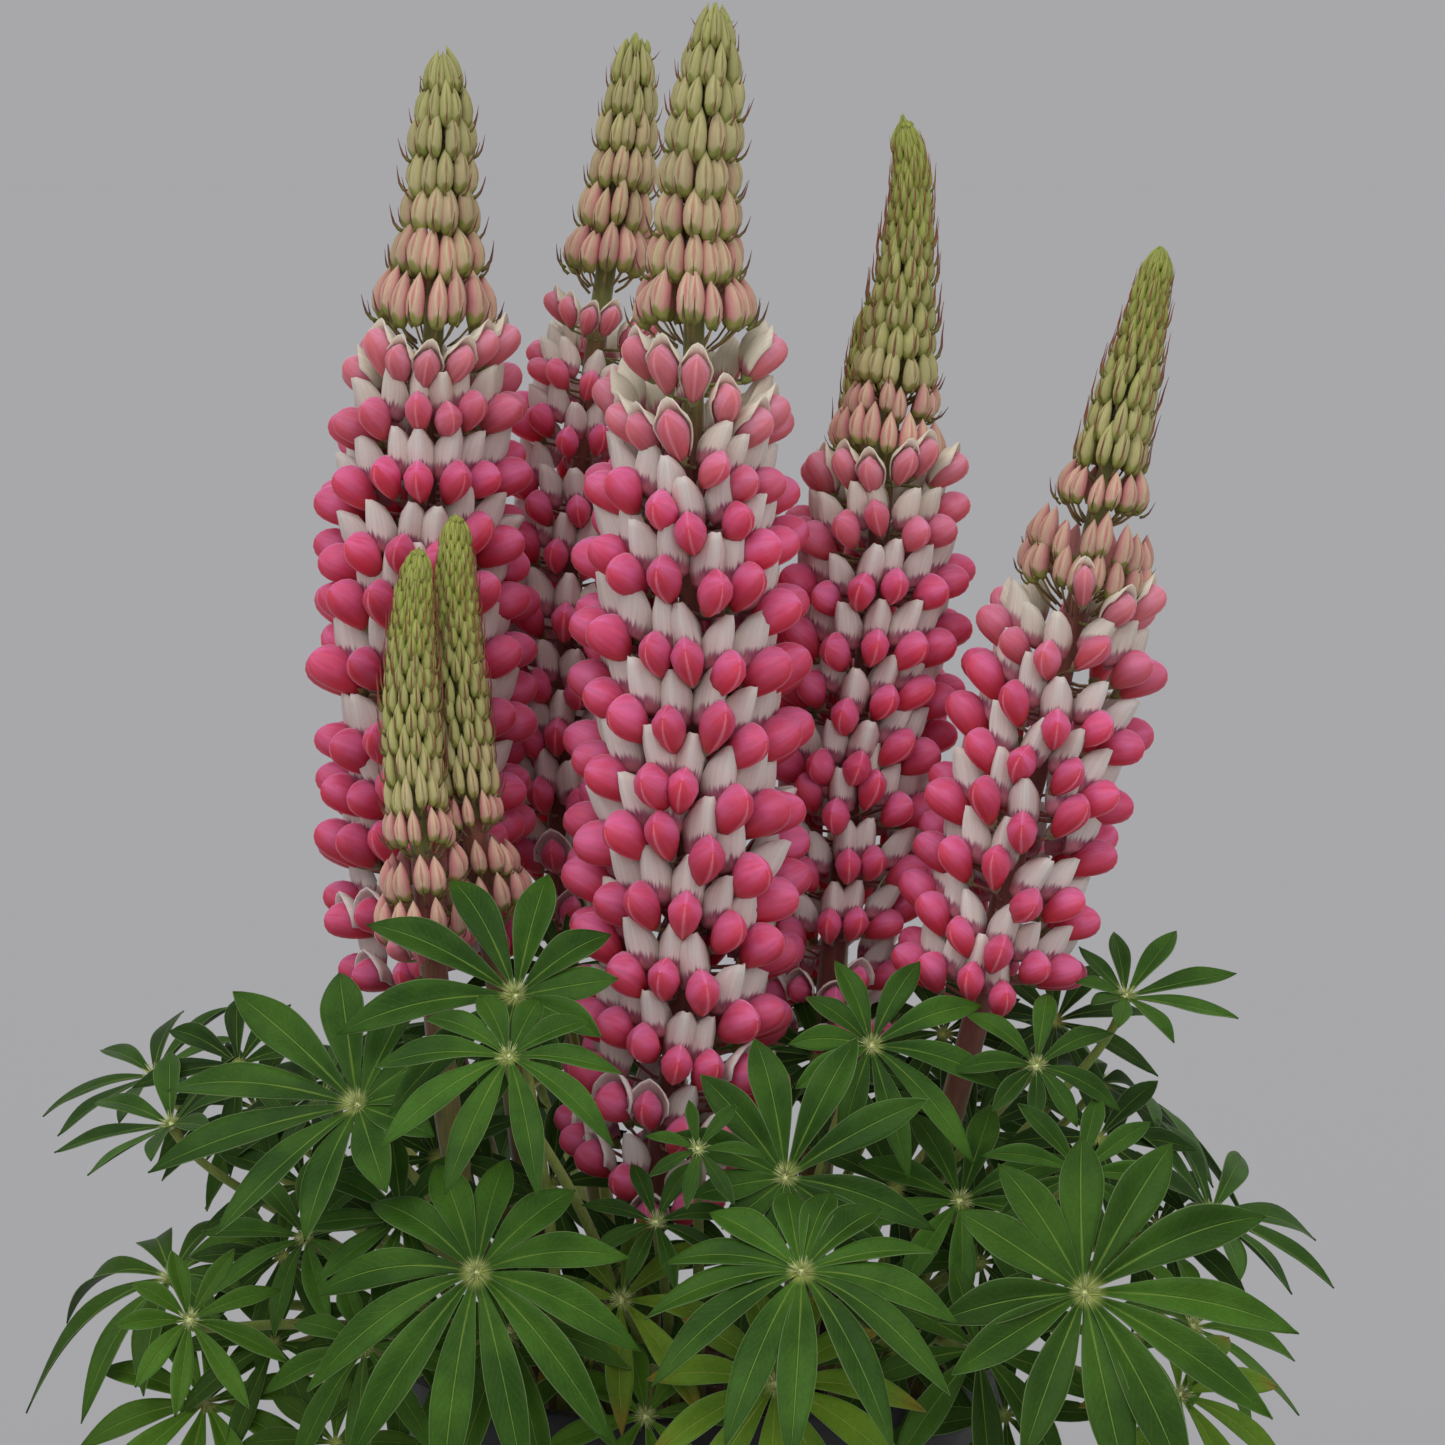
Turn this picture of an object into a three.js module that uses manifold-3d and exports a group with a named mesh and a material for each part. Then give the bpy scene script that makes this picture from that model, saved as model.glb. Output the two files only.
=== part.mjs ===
// A pink and white lupin in a black nursery pot.
// Millimetres, +Z up. The origin is the centre of the pot's underside, +X is the viewer's right
// and -Y is the side that faces the viewer.

import * as THREE from 'three';
import { mergeVertices } from 'three/addons/utils/BufferGeometryUtils.js';
import Module from 'manifold-3d';

const wasm = await Module();
wasm.setup();

// Pot and soil
const POT_HEIGHT = 160;
const POT_BASE_RADIUS = 66;
const POT_RIM_RADIUS = 95;
const POT_WALL = 2.4;
const POT_FLOOR = 3;
const RIM_LIP = 4;
const RIM_HEIGHT = 13;
const RIM_BEVEL = 1;
const RIM_LEDGE = 1.5;
const POT_SIDES = 24;
const DRAIN_COUNT = 5;
const DRAIN_RADIUS = 6;
const DRAIN_CIRCLE = 48;
const DRAIN_SIDES = 8;
const SOIL_TOP = 146;
const GAP = 0.3;

// Stems
const ROOT_DEPTH = 12;
const STEM_UPRIGHT = 2;
const HOLE_CLEARANCE = 0.6;
const STALK_RADIUS = 3.6;
const STALK_STEP = 45;
const PETIOLE_RADIUS = 1.8;
const PETIOLE_SIDES = 3;
const PETIOLE_STEPS = 4;

// Leaves
const BLADE_THICKNESS = 1.0;
const LEAFLET_WIDTH = 0.22;
const LEAFLET_WIDEST = 0.6;
const LEAFLET_RISE = 0.3;
const LEAFLET_SAG = 0.6;
const NOTCH = 0.1;
const HUB_DEPTH = 2.5;
const PETIOLE_RISE = 0.6;
const PETIOLE_LEAST_RISE = 48;
const PETIOLE_LEAN = 0.2;
const PETIOLE_APPROACH = 0.25;

// Flower spikes
const AROUND = 6;
const WHORL_TURN = Math.PI / AROUND;
const PEDICEL_HEIGHT = 5;
const CORE_TOP_RADIUS = 2.6;
const LINE_SEARCH_ROUNDS = 30;

// Points of an open flower on a whorl: outward as a share of the whorl's radius, then sideways and
// upward in millimetres for a whorl whose radius is FLOWER_AT. They are the keel, the two wings, the
// beak, the saddle in front of the banner, and the banner's two sides, tip and back.
const FLOWER_AT = 31;
const FLOWER_POINTS = [
  [0.8, 0, -8],
  [0.8, -8, 0],
  [0.8, 8, 0],
  [1, 0, 1.5],
  [0.84, 0, 6],
  [0.72, -7.4, 11],
  [0.72, 7.4, 11],
  [0.68, 0, 18.5],
  [0.56, 0, 7],
];

// Points of a bud: outward and sideways as a share of its row's radius, upward as a share of its
// height. They are its two sides, its front and its tip. A young scale has only a front and a tip.
const BUD_POINTS = [
  [0.8, -0.37, 0.3],
  [0.8, 0.37, 0.3],
  [1.04, 0, 0.28],
  [0.84, 0, 1],
];
const SCALE_POINTS = [
  [1, 0, -0.1],
  [1, 0, 0.7],
];
const BUD_CORE = 0.45;
const BUD_CORE_MOST = 4.5;
const BUD_HEIGHT = 1.15;
const SCALE_RADIUS = 9.5;
const SCALE_STEP = 9;
const SCALE_HEIGHT = 1.4;
const BUD_FOOT = 0.4;

const X_AXIS = new THREE.Vector3(1, 0, 0);
const Y_AXIS = new THREE.Vector3(0, 1, 0);

const POINT_MERGE = 1e-4;

const ROUGHNESS = {
  pot: 0.55,
  soil: 1,
  stalk: 0.7,
  petal: 0.6,
  leaf: 0.6,
};

const COLOURS = {
  pot: 0x1c1c1e,
  soil: 0x3b2a1e,
  stalk: 0x6b4a32,
  flowers: 0xdf5587,
  buds: 0xb4b577,
  leaf: 0x356b30,
  leafYellow: 0x6f8c2c,
};

// Each spike: where it stands in the soil, points up its stalk, the heights of its lowest and highest
// whorl of open flowers, how many such whorls, their radius at the foot, halfway and at the top, the
// radius of each row of buds above them, and the height of its tip.
const SPIKES = [
  {
    name: 'left', root: [-46, 2],
    line: [[-64, 4, 215], [-81, 6, 275], [-83, 6, 357], [-81, 6, 441], [-78, 6, 489],
      [-76, 6, 537], [-77, 6, 549]],
    flowers: { from: 280, to: 457, whorls: 9, radii: [28, 32, 25] },
    buds: { radii: [18, 14, 12, 11, 10.5, 8.5], tip: 549 },
  },
  {
    name: 'back', root: [-22, 30],
    line: [[-36, 42, 230], [-43, 46, 291], [-40, 46, 384], [-30, 46, 476], [-23, 46, 520],
      [-19, 46, 557]],
    flowers: { from: 290, to: 470, whorls: 9, radii: [25, 29, 23] },
    buds: { radii: [17, 13.5, 12, 11, 10, 8], tip: 558 },
  },
  {
    name: 'centre', root: [-16, -22],
    line: [[-14, -34, 205], [-5, -35, 272], [-3, -35, 332], [-2, -35, 420], [0, -35, 507],
      [4, -35, 548], [5, -35, 563]],
    flowers: { from: 222, to: 455, whorls: 12, radii: [29, 35, 28] },
    buds: { radii: [20, 16.5, 13.5, 13, 12.5, 11, 8.5], tip: 564 },
  },
  {
    name: 'right', root: [26, 4],
    line: [[35, 4, 220], [41, 4, 286], [51, 3, 377], [56, 2, 432], [61, 2, 480], [62, 2, 515],
      [58, 1, 530]],
    flowers: { from: 276, to: 436, whorls: 8, radii: [19, 27, 20] },
    buds: { radii: [14, 12, 11, 10, 9, 8, 7, 6, 4.5], tip: 531 },
  },
  {
    name: 'leaning', root: [46, -16],
    line: [[66, -22, 205], [82, -26, 264], [94, -25, 317], [106, -22, 362], [116, -20, 408],
      [129, -20, 467], [133, -20, 493]],
    flowers: { from: 276, to: 409, whorls: 7, radii: [22, 28, 22] },
    buds: { radii: [15, 12, 10.5, 10, 9.5, 9, 8, 6.5, 5], tip: 494 },
  },
  {
    name: 'young_front', root: [-52, -34],
    line: [[-72, -46, 230], [-78, -48, 290], [-83, -48, 345], [-83, -48, 386],
      [-81, -48, 407]],
    flowers: { from: 292, to: 311, whorls: 2, radii: [17, 16, 15] },
    buds: { radii: [11.5, 10, 9.5, 9, 9, 9, 8.5, 8.5, 8, 7, 5.5, 4], tip: 407 },
  },
  {
    name: 'young_side', root: [-42, -20],
    line: [[-54, -27, 240], [-61, -31, 290], [-67, -35, 330], [-71, -35, 376],
      [-71, -35, 416]],
    buds: { from: 322, radii: [8, 9, 9, 9, 9, 8.5, 8, 8, 7, 6, 4], tip: 416 },
  },
  {
    name: 'young_back', root: [32, 26],
    line: [[40, 40, 260], [44, 42, 380], [46, 42, 440], [50, 42, 477]],
    buds: { from: 400, radii: [8, 8, 7.5, 7.5, 7, 6.5, 5.5, 4], tip: 477 },
  },
];

// Each leaf: the point where its leaflets meet, the way its upper face looks (degrees right of the
// viewer, degrees above level), the length of its longest leaflet, how many leaflets, the way the
// longest one points (degrees from the right, anticlockwise), how much shorter the opposite one is,
// how far its leaflets arch over, and how far from the pot's axis its stalk stands in the soil.
const LEAVES = [
  { name: 'leaf_01', hub: [-52, -84, 281], faces: [0, 36], reach: 56, leaflets: 10,
    lead: 150, uneven: 0.5, arch: 0.3, root: 74 },
  { name: 'leaf_02', hub: [-53, -112, 268], faces: [0, 48], reach: 44, leaflets: 10,
    lead: -110, uneven: 0.4, arch: 0.4, root: 42 },
  { name: 'leaf_03', hub: [-97, -88, 250], faces: [-25, 45], reach: 64, leaflets: 11,
    lead: 175, uneven: 0.5, arch: 0.3, root: 70 },
  { name: 'leaf_04', hub: [-62, -118, 208], faces: [-5, 27], reach: 55, leaflets: 12,
    lead: -100, uneven: 0.2, arch: 0.5, root: 58 },
  { name: 'leaf_05', hub: [29, -128, 210], faces: [0, 50], reach: 54, leaflets: 13,
    lead: -90, uneven: 0.35, arch: 0.45, root: 60 },
  { name: 'leaf_06', hub: [109, -112, 201], faces: [5, 25], reach: 62, leaflets: 12,
    lead: 0, uneven: 0.28, arch: 0.25, root: 74 },
  { name: 'leaf_07', hub: [25, -92, 230], faces: [0, 25], reach: 52, leaflets: 11,
    lead: 60, uneven: 0.55, arch: 0.25, root: 46 },
  { name: 'leaf_08', hub: [50, -62, 263], faces: [10, 30], reach: 42, leaflets: 10,
    lead: -10, uneven: 0.4, arch: 0.35, root: 38 },
  { name: 'leaf_09', hub: [22, -110, 174], faces: [0, 35], reach: 46, leaflets: 11,
    lead: -62, uneven: 0.2, arch: 0.4, root: 76, yellow: true },
  { name: 'leaf_10', hub: [-54, -100, 187], faces: [-5, 30], reach: 44, leaflets: 10,
    lead: -68, uneven: 0.5, arch: 0.45, root: 76 },
  { name: 'leaf_11', hub: [-22, -90, 194], faces: [5, 35], reach: 38, leaflets: 8,
    lead: -52, uneven: 0.2, arch: 0.3, root: 64, yellow: true },
  { name: 'leaf_12', hub: [80, -92, 180], faces: [10, 25], reach: 42, leaflets: 9,
    lead: -95, uneven: 0.3, arch: 0.35, root: 66 },
  { name: 'leaf_13', hub: [110, -76, 228], faces: [10, 30], reach: 32, leaflets: 9,
    lead: 120, uneven: 0.2, arch: 0.3, root: 60 },
  { name: 'leaf_14', hub: [126, -34, 273], faces: [20, 60], reach: 36, leaflets: 9,
    lead: 0, uneven: 0.55, arch: 0.2, root: 58 },
  { name: 'leaf_15', hub: [-157, -25, 233], faces: [-50, 60], reach: 38, leaflets: 8,
    lead: 180, uneven: 0.3, arch: 0.4, root: 72 },
  { name: 'leaf_16', hub: [-168, 32, 238], faces: [-60, 60], reach: 40, leaflets: 8,
    lead: 180, uneven: 0.2, arch: 0.6, root: 70 },
  { name: 'leaf_17', hub: [-155, -46, 191], faces: [-40, 55], reach: 52, leaflets: 9,
    lead: 180, uneven: 0.4, arch: 0.8, root: 78 },
  { name: 'leaf_18', hub: [-145, -98, 190], faces: [10, 30], reach: 31, leaflets: 9,
    lead: -20, uneven: 0.3, arch: 0.35, root: 74 },
  { name: 'leaf_19', hub: [-144, -64, 158], faces: [0, 40], reach: 45, leaflets: 10,
    lead: -60, uneven: 0.2, arch: 0.6, root: 66 },
  { name: 'leaf_20', hub: [0, -102, 240], faces: [0, 35], reach: 20, leaflets: 7,
    lead: 0, uneven: 0.2, arch: 0.2, root: 36 },
  { name: 'leaf_21', hub: [98, -62, 257], faces: [10, 30], reach: 34, leaflets: 8,
    lead: 80, uneven: 0.5, arch: 0.25, root: 50 },
  { name: 'leaf_22', hub: [152, -30, 207], faces: [60, 50], reach: 46, leaflets: 9,
    lead: 20, uneven: 0.3, arch: 0.5, root: 74 },
  { name: 'leaf_23', hub: [144, -62, 180], faces: [50, 45], reach: 38, leaflets: 9,
    lead: -20, uneven: 0.2, arch: 0.6, root: 78 },
  { name: 'leaf_24', hub: [-114, -64, 207], faces: [-20, 40], reach: 34, leaflets: 9,
    lead: 180, uneven: 0.2, arch: 0.5, root: 76 },
  { name: 'leaf_25', hub: [-112, -18, 240], faces: [-60, 50], reach: 35, leaflets: 8,
    lead: 120, uneven: 0.2, arch: 0.4, root: 56 },
  { name: 'leaf_26', hub: [-112, 72, 230], faces: [-125, 50], reach: 55, leaflets: 11,
    lead: -90, uneven: 0.2, arch: 0.4, root: 60 },
  { name: 'leaf_27', hub: [-52, 108, 222], faces: [-155, 45], reach: 55, leaflets: 11,
    lead: -90, uneven: 0.2, arch: 0.4, root: 66 },
  { name: 'leaf_28', hub: [18, 116, 232], faces: [175, 45], reach: 55, leaflets: 11,
    lead: -90, uneven: 0.2, arch: 0.4, root: 60 },
  { name: 'leaf_29', hub: [82, 92, 218], faces: [140, 45], reach: 55, leaflets: 11,
    lead: -90, uneven: 0.2, arch: 0.4, root: 66 },
  { name: 'leaf_30', hub: [124, 42, 234], faces: [110, 50], reach: 55, leaflets: 11,
    lead: -90, uneven: 0.2, arch: 0.4, root: 60 },
  { name: 'leaf_31', hub: [-12, -88, 216], faces: [0, 40], reach: 26, leaflets: 8,
    lead: 64, uneven: 0.2, arch: 0.3, root: 54 },
  { name: 'leaf_32', hub: [76, -66, 218], faces: [5, 35], reach: 40, leaflets: 9,
    lead: 30, uneven: 0.2, arch: 0.35, root: 52 },
  { name: 'leaf_33', hub: [-84, -98, 219], faces: [-10, 35], reach: 34, leaflets: 9,
    lead: 100, uneven: 0.2, arch: 0.35, root: 57 },
  { name: 'leaf_34', hub: [-15, -98, 162], faces: [0, 25], reach: 36, leaflets: 8,
    lead: -80, uneven: 0.2, arch: 0.4, root: 78 },
  { name: 'leaf_35', hub: [138, -88, 166], faces: [25, 30], reach: 40, leaflets: 9,
    lead: -70, uneven: 0.2, arch: 0.45, root: 66, yellow: true },
  { name: 'leaf_36', hub: [-94, -106, 184], faces: [-20, 30], reach: 36, leaflets: 9,
    lead: -80, uneven: 0.3, arch: 0.5, root: 75 },
];

const group = new THREE.Group();

function addPiece(name, geometry, colour, roughness) {
  const material = new THREE.MeshStandardMaterial({ color: colour, roughness, metalness: 0 });
  const mesh = new THREE.Mesh(geometry, material);
  mesh.name = name;
  group.add(mesh);
}

function toSolid(geometry) {
  const bare = geometry.clone();
  bare.deleteAttribute('normal');
  bare.deleteAttribute('uv');
  const merged = mergeVertices(bare, POINT_MERGE);
  return new wasm.Manifold(new wasm.Mesh({
    numProp: 3,
    vertProperties: new Float32Array(merged.attributes.position.array),
    triVerts: new Uint32Array(merged.index.array),
  }));
}

function toGeometry(solid) {
  const mesh = solid.getMesh();
  const geometry = new THREE.BufferGeometry();
  geometry.setAttribute('position', new THREE.BufferAttribute(mesh.vertProperties, 3));
  geometry.setIndex(new THREE.BufferAttribute(mesh.triVerts, 1));
  return geometry;
}

// A closed surface that is put together point by point and face by face.
class Surface {
  constructor() {
    this.points = [];
    this.faces = [];
  }

  point(place) {
    this.points.push(place.x, place.y, place.z);
    return this.points.length / 3 - 1;
  }

  face(...corners) {
    this.faces.push(...corners);
  }

  ring(centre, across, over, radius, sides, turn) {
    const indices = [];
    for (let side = 0; side < sides; side += 1) {
      const angle = turn + (2 * Math.PI * side) / sides;
      const place = centre.clone();
      place.addScaledVector(across, radius * Math.cos(angle));
      place.addScaledVector(over, radius * Math.sin(angle));
      indices.push(this.point(place));
    }
    return indices;
  }

  band(lower, upper) {
    for (let side = 0; side < lower.length; side += 1) {
      const next = (side + 1) % lower.length;
      this.face(lower[side], lower[next], upper[next]);
      this.face(lower[side], upper[next], upper[side]);
    }
  }

  capBottom(ring) {
    for (let side = 1; side < ring.length - 1; side += 1) {
      this.face(ring[0], ring[side + 1], ring[side]);
    }
  }

  capTop(ring) {
    for (let side = 1; side < ring.length - 1; side += 1) {
      this.face(ring[0], ring[side], ring[side + 1]);
    }
  }

  geometry() {
    const geometry = new THREE.BufferGeometry();
    geometry.setAttribute('position', new THREE.Float32BufferAttribute(this.points, 3));
    geometry.setIndex(this.faces);
    return geometry;
  }
}

// Rings of a stem of even thickness along a list of points. Its first stretch stands upright.
function stemRings(surface, points, radius, sides) {
  const across = new THREE.Vector3(1, 0, 0);
  const rings = points.map((place, index) => {
    const before = points[Math.max(index - 1, 0)];
    const after = points[Math.min(index + 1, points.length - 1)];
    const along = new THREE.Vector3().subVectors(after, before).normalize();
    if (index < 2) {
      along.set(0, 0, 1);
    }
    across.addScaledVector(along, -across.dot(along)).normalize();
    const over = new THREE.Vector3().crossVectors(along, across);
    return surface.ring(place, across, over, radius, sides, 0);
  });
  surface.capBottom(rings[0]);
  for (let index = 1; index < rings.length; index += 1) {
    surface.band(rings[index - 1], rings[index]);
  }
  return rings;
}

function upright(x, y, radius, sides) {
  const foot = new THREE.Vector3(x, y, SOIL_TOP - ROOT_DEPTH - GAP);
  const head = new THREE.Vector3(x, y, SOIL_TOP + STEM_UPRIGHT);
  const surface = new Surface();
  const rings = stemRings(surface, [foot, head], radius, sides);
  surface.capTop(rings[1]);
  return surface.geometry();
}

// Pot: a turned shell with a thick rim lip, and drain holes through its floor.
function potInnerRadius(height) {
  const share = height / (POT_HEIGHT - RIM_HEIGHT);
  return POT_BASE_RADIUS + share * (POT_RIM_RADIUS - RIM_LIP - POT_BASE_RADIUS) - POT_WALL;
}

// A solid turned about the pot's axis from points of its outline: radius, then height.
function turned(outline) {
  const profile = outline.map(([radius, height]) => new THREE.Vector2(radius, height));
  return toSolid(new THREE.LatheGeometry(profile, POT_SIDES).rotateX(Math.PI / 2));
}

function makePot() {
  const lipFoot = POT_HEIGHT - RIM_HEIGHT;
  const bodyTop = POT_RIM_RADIUS - RIM_LIP;
  let pot = turned([
    [0, 0], [POT_BASE_RADIUS, 0], [bodyTop, lipFoot], [POT_RIM_RADIUS, lipFoot + RIM_BEVEL],
    [POT_RIM_RADIUS, POT_HEIGHT - RIM_BEVEL], [POT_RIM_RADIUS - RIM_BEVEL, POT_HEIGHT],
    [bodyTop - POT_WALL + RIM_LEDGE, POT_HEIGHT], [potInnerRadius(lipFoot), lipFoot],
    [potInnerRadius(POT_FLOOR), POT_FLOOR], [0, POT_FLOOR],
  ]);
  for (let hole = 0; hole < DRAIN_COUNT; hole += 1) {
    const angle = (2 * Math.PI * hole) / DRAIN_COUNT;
    const depth = 4 * POT_FLOOR;
    const drill = new THREE.CylinderGeometry(DRAIN_RADIUS, DRAIN_RADIUS, depth, DRAIN_SIDES);
    drill.rotateX(Math.PI / 2);
    drill.translate(DRAIN_CIRCLE * Math.cos(angle), DRAIN_CIRCLE * Math.sin(angle), 0);
    pot = pot.subtract(toSolid(drill));
  }
  addPiece('pot', toGeometry(pot), COLOURS.pot, ROUGHNESS.pot);
}

function leafRoot(leaf) {
  const distance = Math.hypot(leaf.hub[0], leaf.hub[1]);
  return [(leaf.hub[0] * leaf.root) / distance, (leaf.hub[1] * leaf.root) / distance];
}

// Soil: it fills the pot to a little below the rim, with a plain hole for each stem.
function makeSoil() {
  let soil = turned([
    [0, POT_FLOOR + GAP], [potInnerRadius(POT_FLOOR) - GAP, POT_FLOOR + GAP],
    [potInnerRadius(SOIL_TOP) - GAP, SOIL_TOP], [0, SOIL_TOP],
  ]);
  for (const spike of SPIKES) {
    const hole = upright(...spike.root, STALK_RADIUS + HOLE_CLEARANCE, AROUND);
    soil = soil.subtract(toSolid(hole));
  }
  for (const leaf of LEAVES) {
    const hole = upright(...leafRoot(leaf), PETIOLE_RADIUS + HOLE_CLEARANCE, PETIOLE_SIDES);
    soil = soil.subtract(toSolid(hole));
  }
  addPiece('soil', toGeometry(soil), COLOURS.soil, ROUGHNESS.soil);
}

// The local directions of a leaf: out of its upper face, to its right and up across it.
function leafDirections([side, lift]) {
  const turn = THREE.MathUtils.degToRad(side);
  const tilt = THREE.MathUtils.degToRad(lift);
  const out = new THREE.Vector3(
    Math.sin(turn) * Math.cos(tilt), -Math.cos(turn) * Math.cos(tilt), Math.sin(tilt));
  const right = new THREE.Vector3(Math.cos(turn), Math.sin(turn), 0);
  const up = new THREE.Vector3().crossVectors(out, right);
  return { out, right, up };
}

// The points from a leaf's foot in the soil to just under its hub.
function petiolePoints(leaf) {
  const [x, y] = leafRoot(leaf);
  const { out } = leafDirections(leaf.faces);
  const foot = new THREE.Vector3(x, y, SOIL_TOP + STEM_UPRIGHT);
  const head = new THREE.Vector3(...leaf.hub).addScaledVector(out, -HUB_DEPTH);
  const lift = Math.max(PETIOLE_RISE * (head.z - foot.z), PETIOLE_LEAST_RISE);
  const rise = foot.clone().lerp(head, PETIOLE_LEAN).setZ(foot.z + lift);
  const approach = head.clone().addScaledVector(out, -PETIOLE_APPROACH * foot.distanceTo(head));
  const curve = new THREE.CubicBezierCurve3(foot, rise, approach, head);
  return [foot.clone().setZ(SOIL_TOP - ROOT_DEPTH), ...curve.getPoints(PETIOLE_STEPS)];
}

// A leaf: its stalk flares into one thin plate, cut nearly to the middle into leaflets. Each leaflet
// rises a little from the middle, then arches over and hangs by its own weight.
function makeLeaf(leaf) {
  const { out, right, up } = leafDirections(leaf.faces);
  const hub = new THREE.Vector3(...leaf.hub);
  const surface = new Surface();

  function spot(angle, along, beside) {
    const ahead = new THREE.Vector3();
    ahead.addScaledVector(right, Math.cos(angle)).addScaledVector(up, Math.sin(angle));
    const sideways = new THREE.Vector3().crossVectors(out, ahead);
    const place = hub.clone().addScaledVector(ahead, along).addScaledVector(sideways, beside);
    const sag = (LEAFLET_SAG * leaf.arch * along * along) / leaf.reach;
    place.addScaledVector(out, LEAFLET_RISE * along - sag);
    place.z -= sag;
    return place;
  }

  // A point of the blade on both its faces: the upper one, then the lower one.
  function twin(angle, along, beside) {
    const place = spot(angle, along, beside);
    const upper = surface.point(place.clone().addScaledVector(out, BLADE_THICKNESS / 2));
    const lower = surface.point(place.clone().addScaledVector(out, -BLADE_THICKNESS / 2));
    return [upper, lower];
  }

  function plate(a, b, c) {
    surface.face(a[0], b[0], c[0]);
    surface.face(a[1], c[1], b[1]);
  }

  function edge(a, b) {
    surface.face(a[0], a[1], b[1]);
    surface.face(a[0], b[1], b[0]);
  }

  // The lower face of the hub, from the notches down to the end of the leaf's stalk.
  function flare(notches, ring) {
    const angleOf = (index) => {
      const [x, y, z] = surface.points.slice(3 * index, 3 * index + 3);
      const place = new THREE.Vector3(x, y, z).sub(hub);
      return Math.atan2(place.dot(up), place.dot(right));
    };
    const turnBetween = (a, b) => Math.abs(Math.atan2(Math.sin(a - b), Math.cos(a - b)));
    const nearest = notches.map((notch) => {
      const turns = ring.map((index) => turnBetween(angleOf(index), angleOf(notch)));
      return turns.indexOf(Math.min(...turns));
    });
    notches.forEach((notch, index) => {
      const next = (index + 1) % notches.length;
      surface.face(notch, ring[nearest[index]], notches[next]);
      if (nearest[next] !== nearest[index]) {
        surface.face(ring[nearest[index]], ring[nearest[next]], notches[next]);
      }
    });
  }

  const middle = surface.point(hub.clone().addScaledVector(out, BLADE_THICKNESS / 2));
  const step = (2 * Math.PI) / leaf.leaflets;
  const lead = THREE.MathUtils.degToRad(leaf.lead);
  const notches = [];
  for (let index = 0; index < leaf.leaflets; index += 1) {
    notches.push(twin(lead + (index - 0.5) * step, NOTCH * leaf.reach, 0));
  }
  for (let index = 0; index < leaf.leaflets; index += 1) {
    const angle = lead + index * step;
    const length = leaf.reach * (1 - (leaf.uneven * (1 - Math.cos(angle - lead))) / 2);
    const half = (LEAFLET_WIDTH * length) / 2;
    const before = notches[index];
    const after = notches[(index + 1) % leaf.leaflets];
    const near = twin(angle, LEAFLET_WIDEST * length, -half);
    const far = twin(angle, LEAFLET_WIDEST * length, half);
    const point = surface.point(spot(angle, length, 0));
    const tip = [point, point];
    surface.face(middle, before[0], after[0]);
    plate(before, near, far);
    plate(before, far, after);
    plate(near, tip, far);
    edge(before, near);
    surface.face(near[0], near[1], point);
    surface.face(far[1], far[0], point);
    edge(far, after);
  }
  const rings = stemRings(surface, petiolePoints(leaf), PETIOLE_RADIUS, PETIOLE_SIDES);
  flare(notches.map((notch) => notch[1]), rings[rings.length - 1]);
  const colour = leaf.yellow ? COLOURS.leafYellow : COLOURS.leaf;
  addPiece(leaf.name, surface.geometry(), colour, ROUGHNESS.leaf);
}

// A spike's line, read by height.
class SpikeLine {
  constructor(spike) {
    const foot = [...spike.root, SOIL_TOP + STEM_UPRIGHT];
    const points = [foot, ...spike.line].map((place) => new THREE.Vector3(...place));
    this.curve = new THREE.CatmullRomCurve3(points, false, 'centripetal');
  }

  at(height) {
    let low = 0;
    let high = 1;
    for (let round = 0; round < LINE_SEARCH_ROUNDS; round += 1) {
      const middle = (low + high) / 2;
      if (this.curve.getPoint(middle).z < height) {
        low = middle;
      } else {
        high = middle;
      }
    }
    const place = this.curve.getPoint(low);
    const along = this.curve.getTangent(low);
    const across = new THREE.Vector3(1, 0, 0);
    across.addScaledVector(along, -across.dot(along)).normalize();
    const over = new THREE.Vector3().crossVectors(along, across);
    return { place, along, across, over };
  }
}

// Directions at the middle of one of a whorl's places: outward, sideways and up the stalk.
function placeOn(frame, turn) {
  const outward = new THREE.Vector3();
  outward.addScaledVector(frame.across, Math.cos(turn)).addScaledVector(frame.over, Math.sin(turn));
  const sideways = new THREE.Vector3().crossVectors(frame.along, outward);
  return (out, side, up) => frame.place.clone()
    .addScaledVector(outward, out).addScaledVector(sideways, side).addScaledVector(frame.along, up);
}

// An open flower grown from one cell of the stalk: a swollen pointed keel between two wings, and an
// upright banner behind it.
function growFlower(surface, cell, spot, radius) {
  const [a, b, c, d] = cell;
  const size = radius / FLOWER_AT;
  const [keel, wingNear, wingFar, beak, saddle, bannerNear, bannerFar, bannerTip, bannerBack] =
    FLOWER_POINTS.map(([out, side, up]) => surface.point(spot(out * radius, side * size, up * size)));
  surface.face(a, b, keel);
  surface.face(b, c, wingFar);
  surface.face(c, d, bannerBack);
  surface.face(d, a, wingNear);
  surface.face(a, keel, wingNear);
  surface.face(b, wingFar, keel);
  surface.face(c, bannerBack, wingFar);
  surface.face(d, wingNear, bannerBack);
  surface.face(wingNear, keel, beak);
  surface.face(keel, wingFar, beak);
  surface.face(wingFar, saddle, beak);
  surface.face(saddle, wingNear, beak);
  surface.face(wingNear, saddle, bannerNear);
  surface.face(saddle, bannerTip, bannerNear);
  surface.face(saddle, bannerFar, bannerTip);
  surface.face(saddle, wingFar, bannerFar);
  surface.face(wingNear, bannerNear, bannerBack);
  surface.face(bannerNear, bannerTip, bannerBack);
  surface.face(bannerTip, bannerFar, bannerBack);
  surface.face(bannerFar, wingFar, bannerBack);
}

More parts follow.
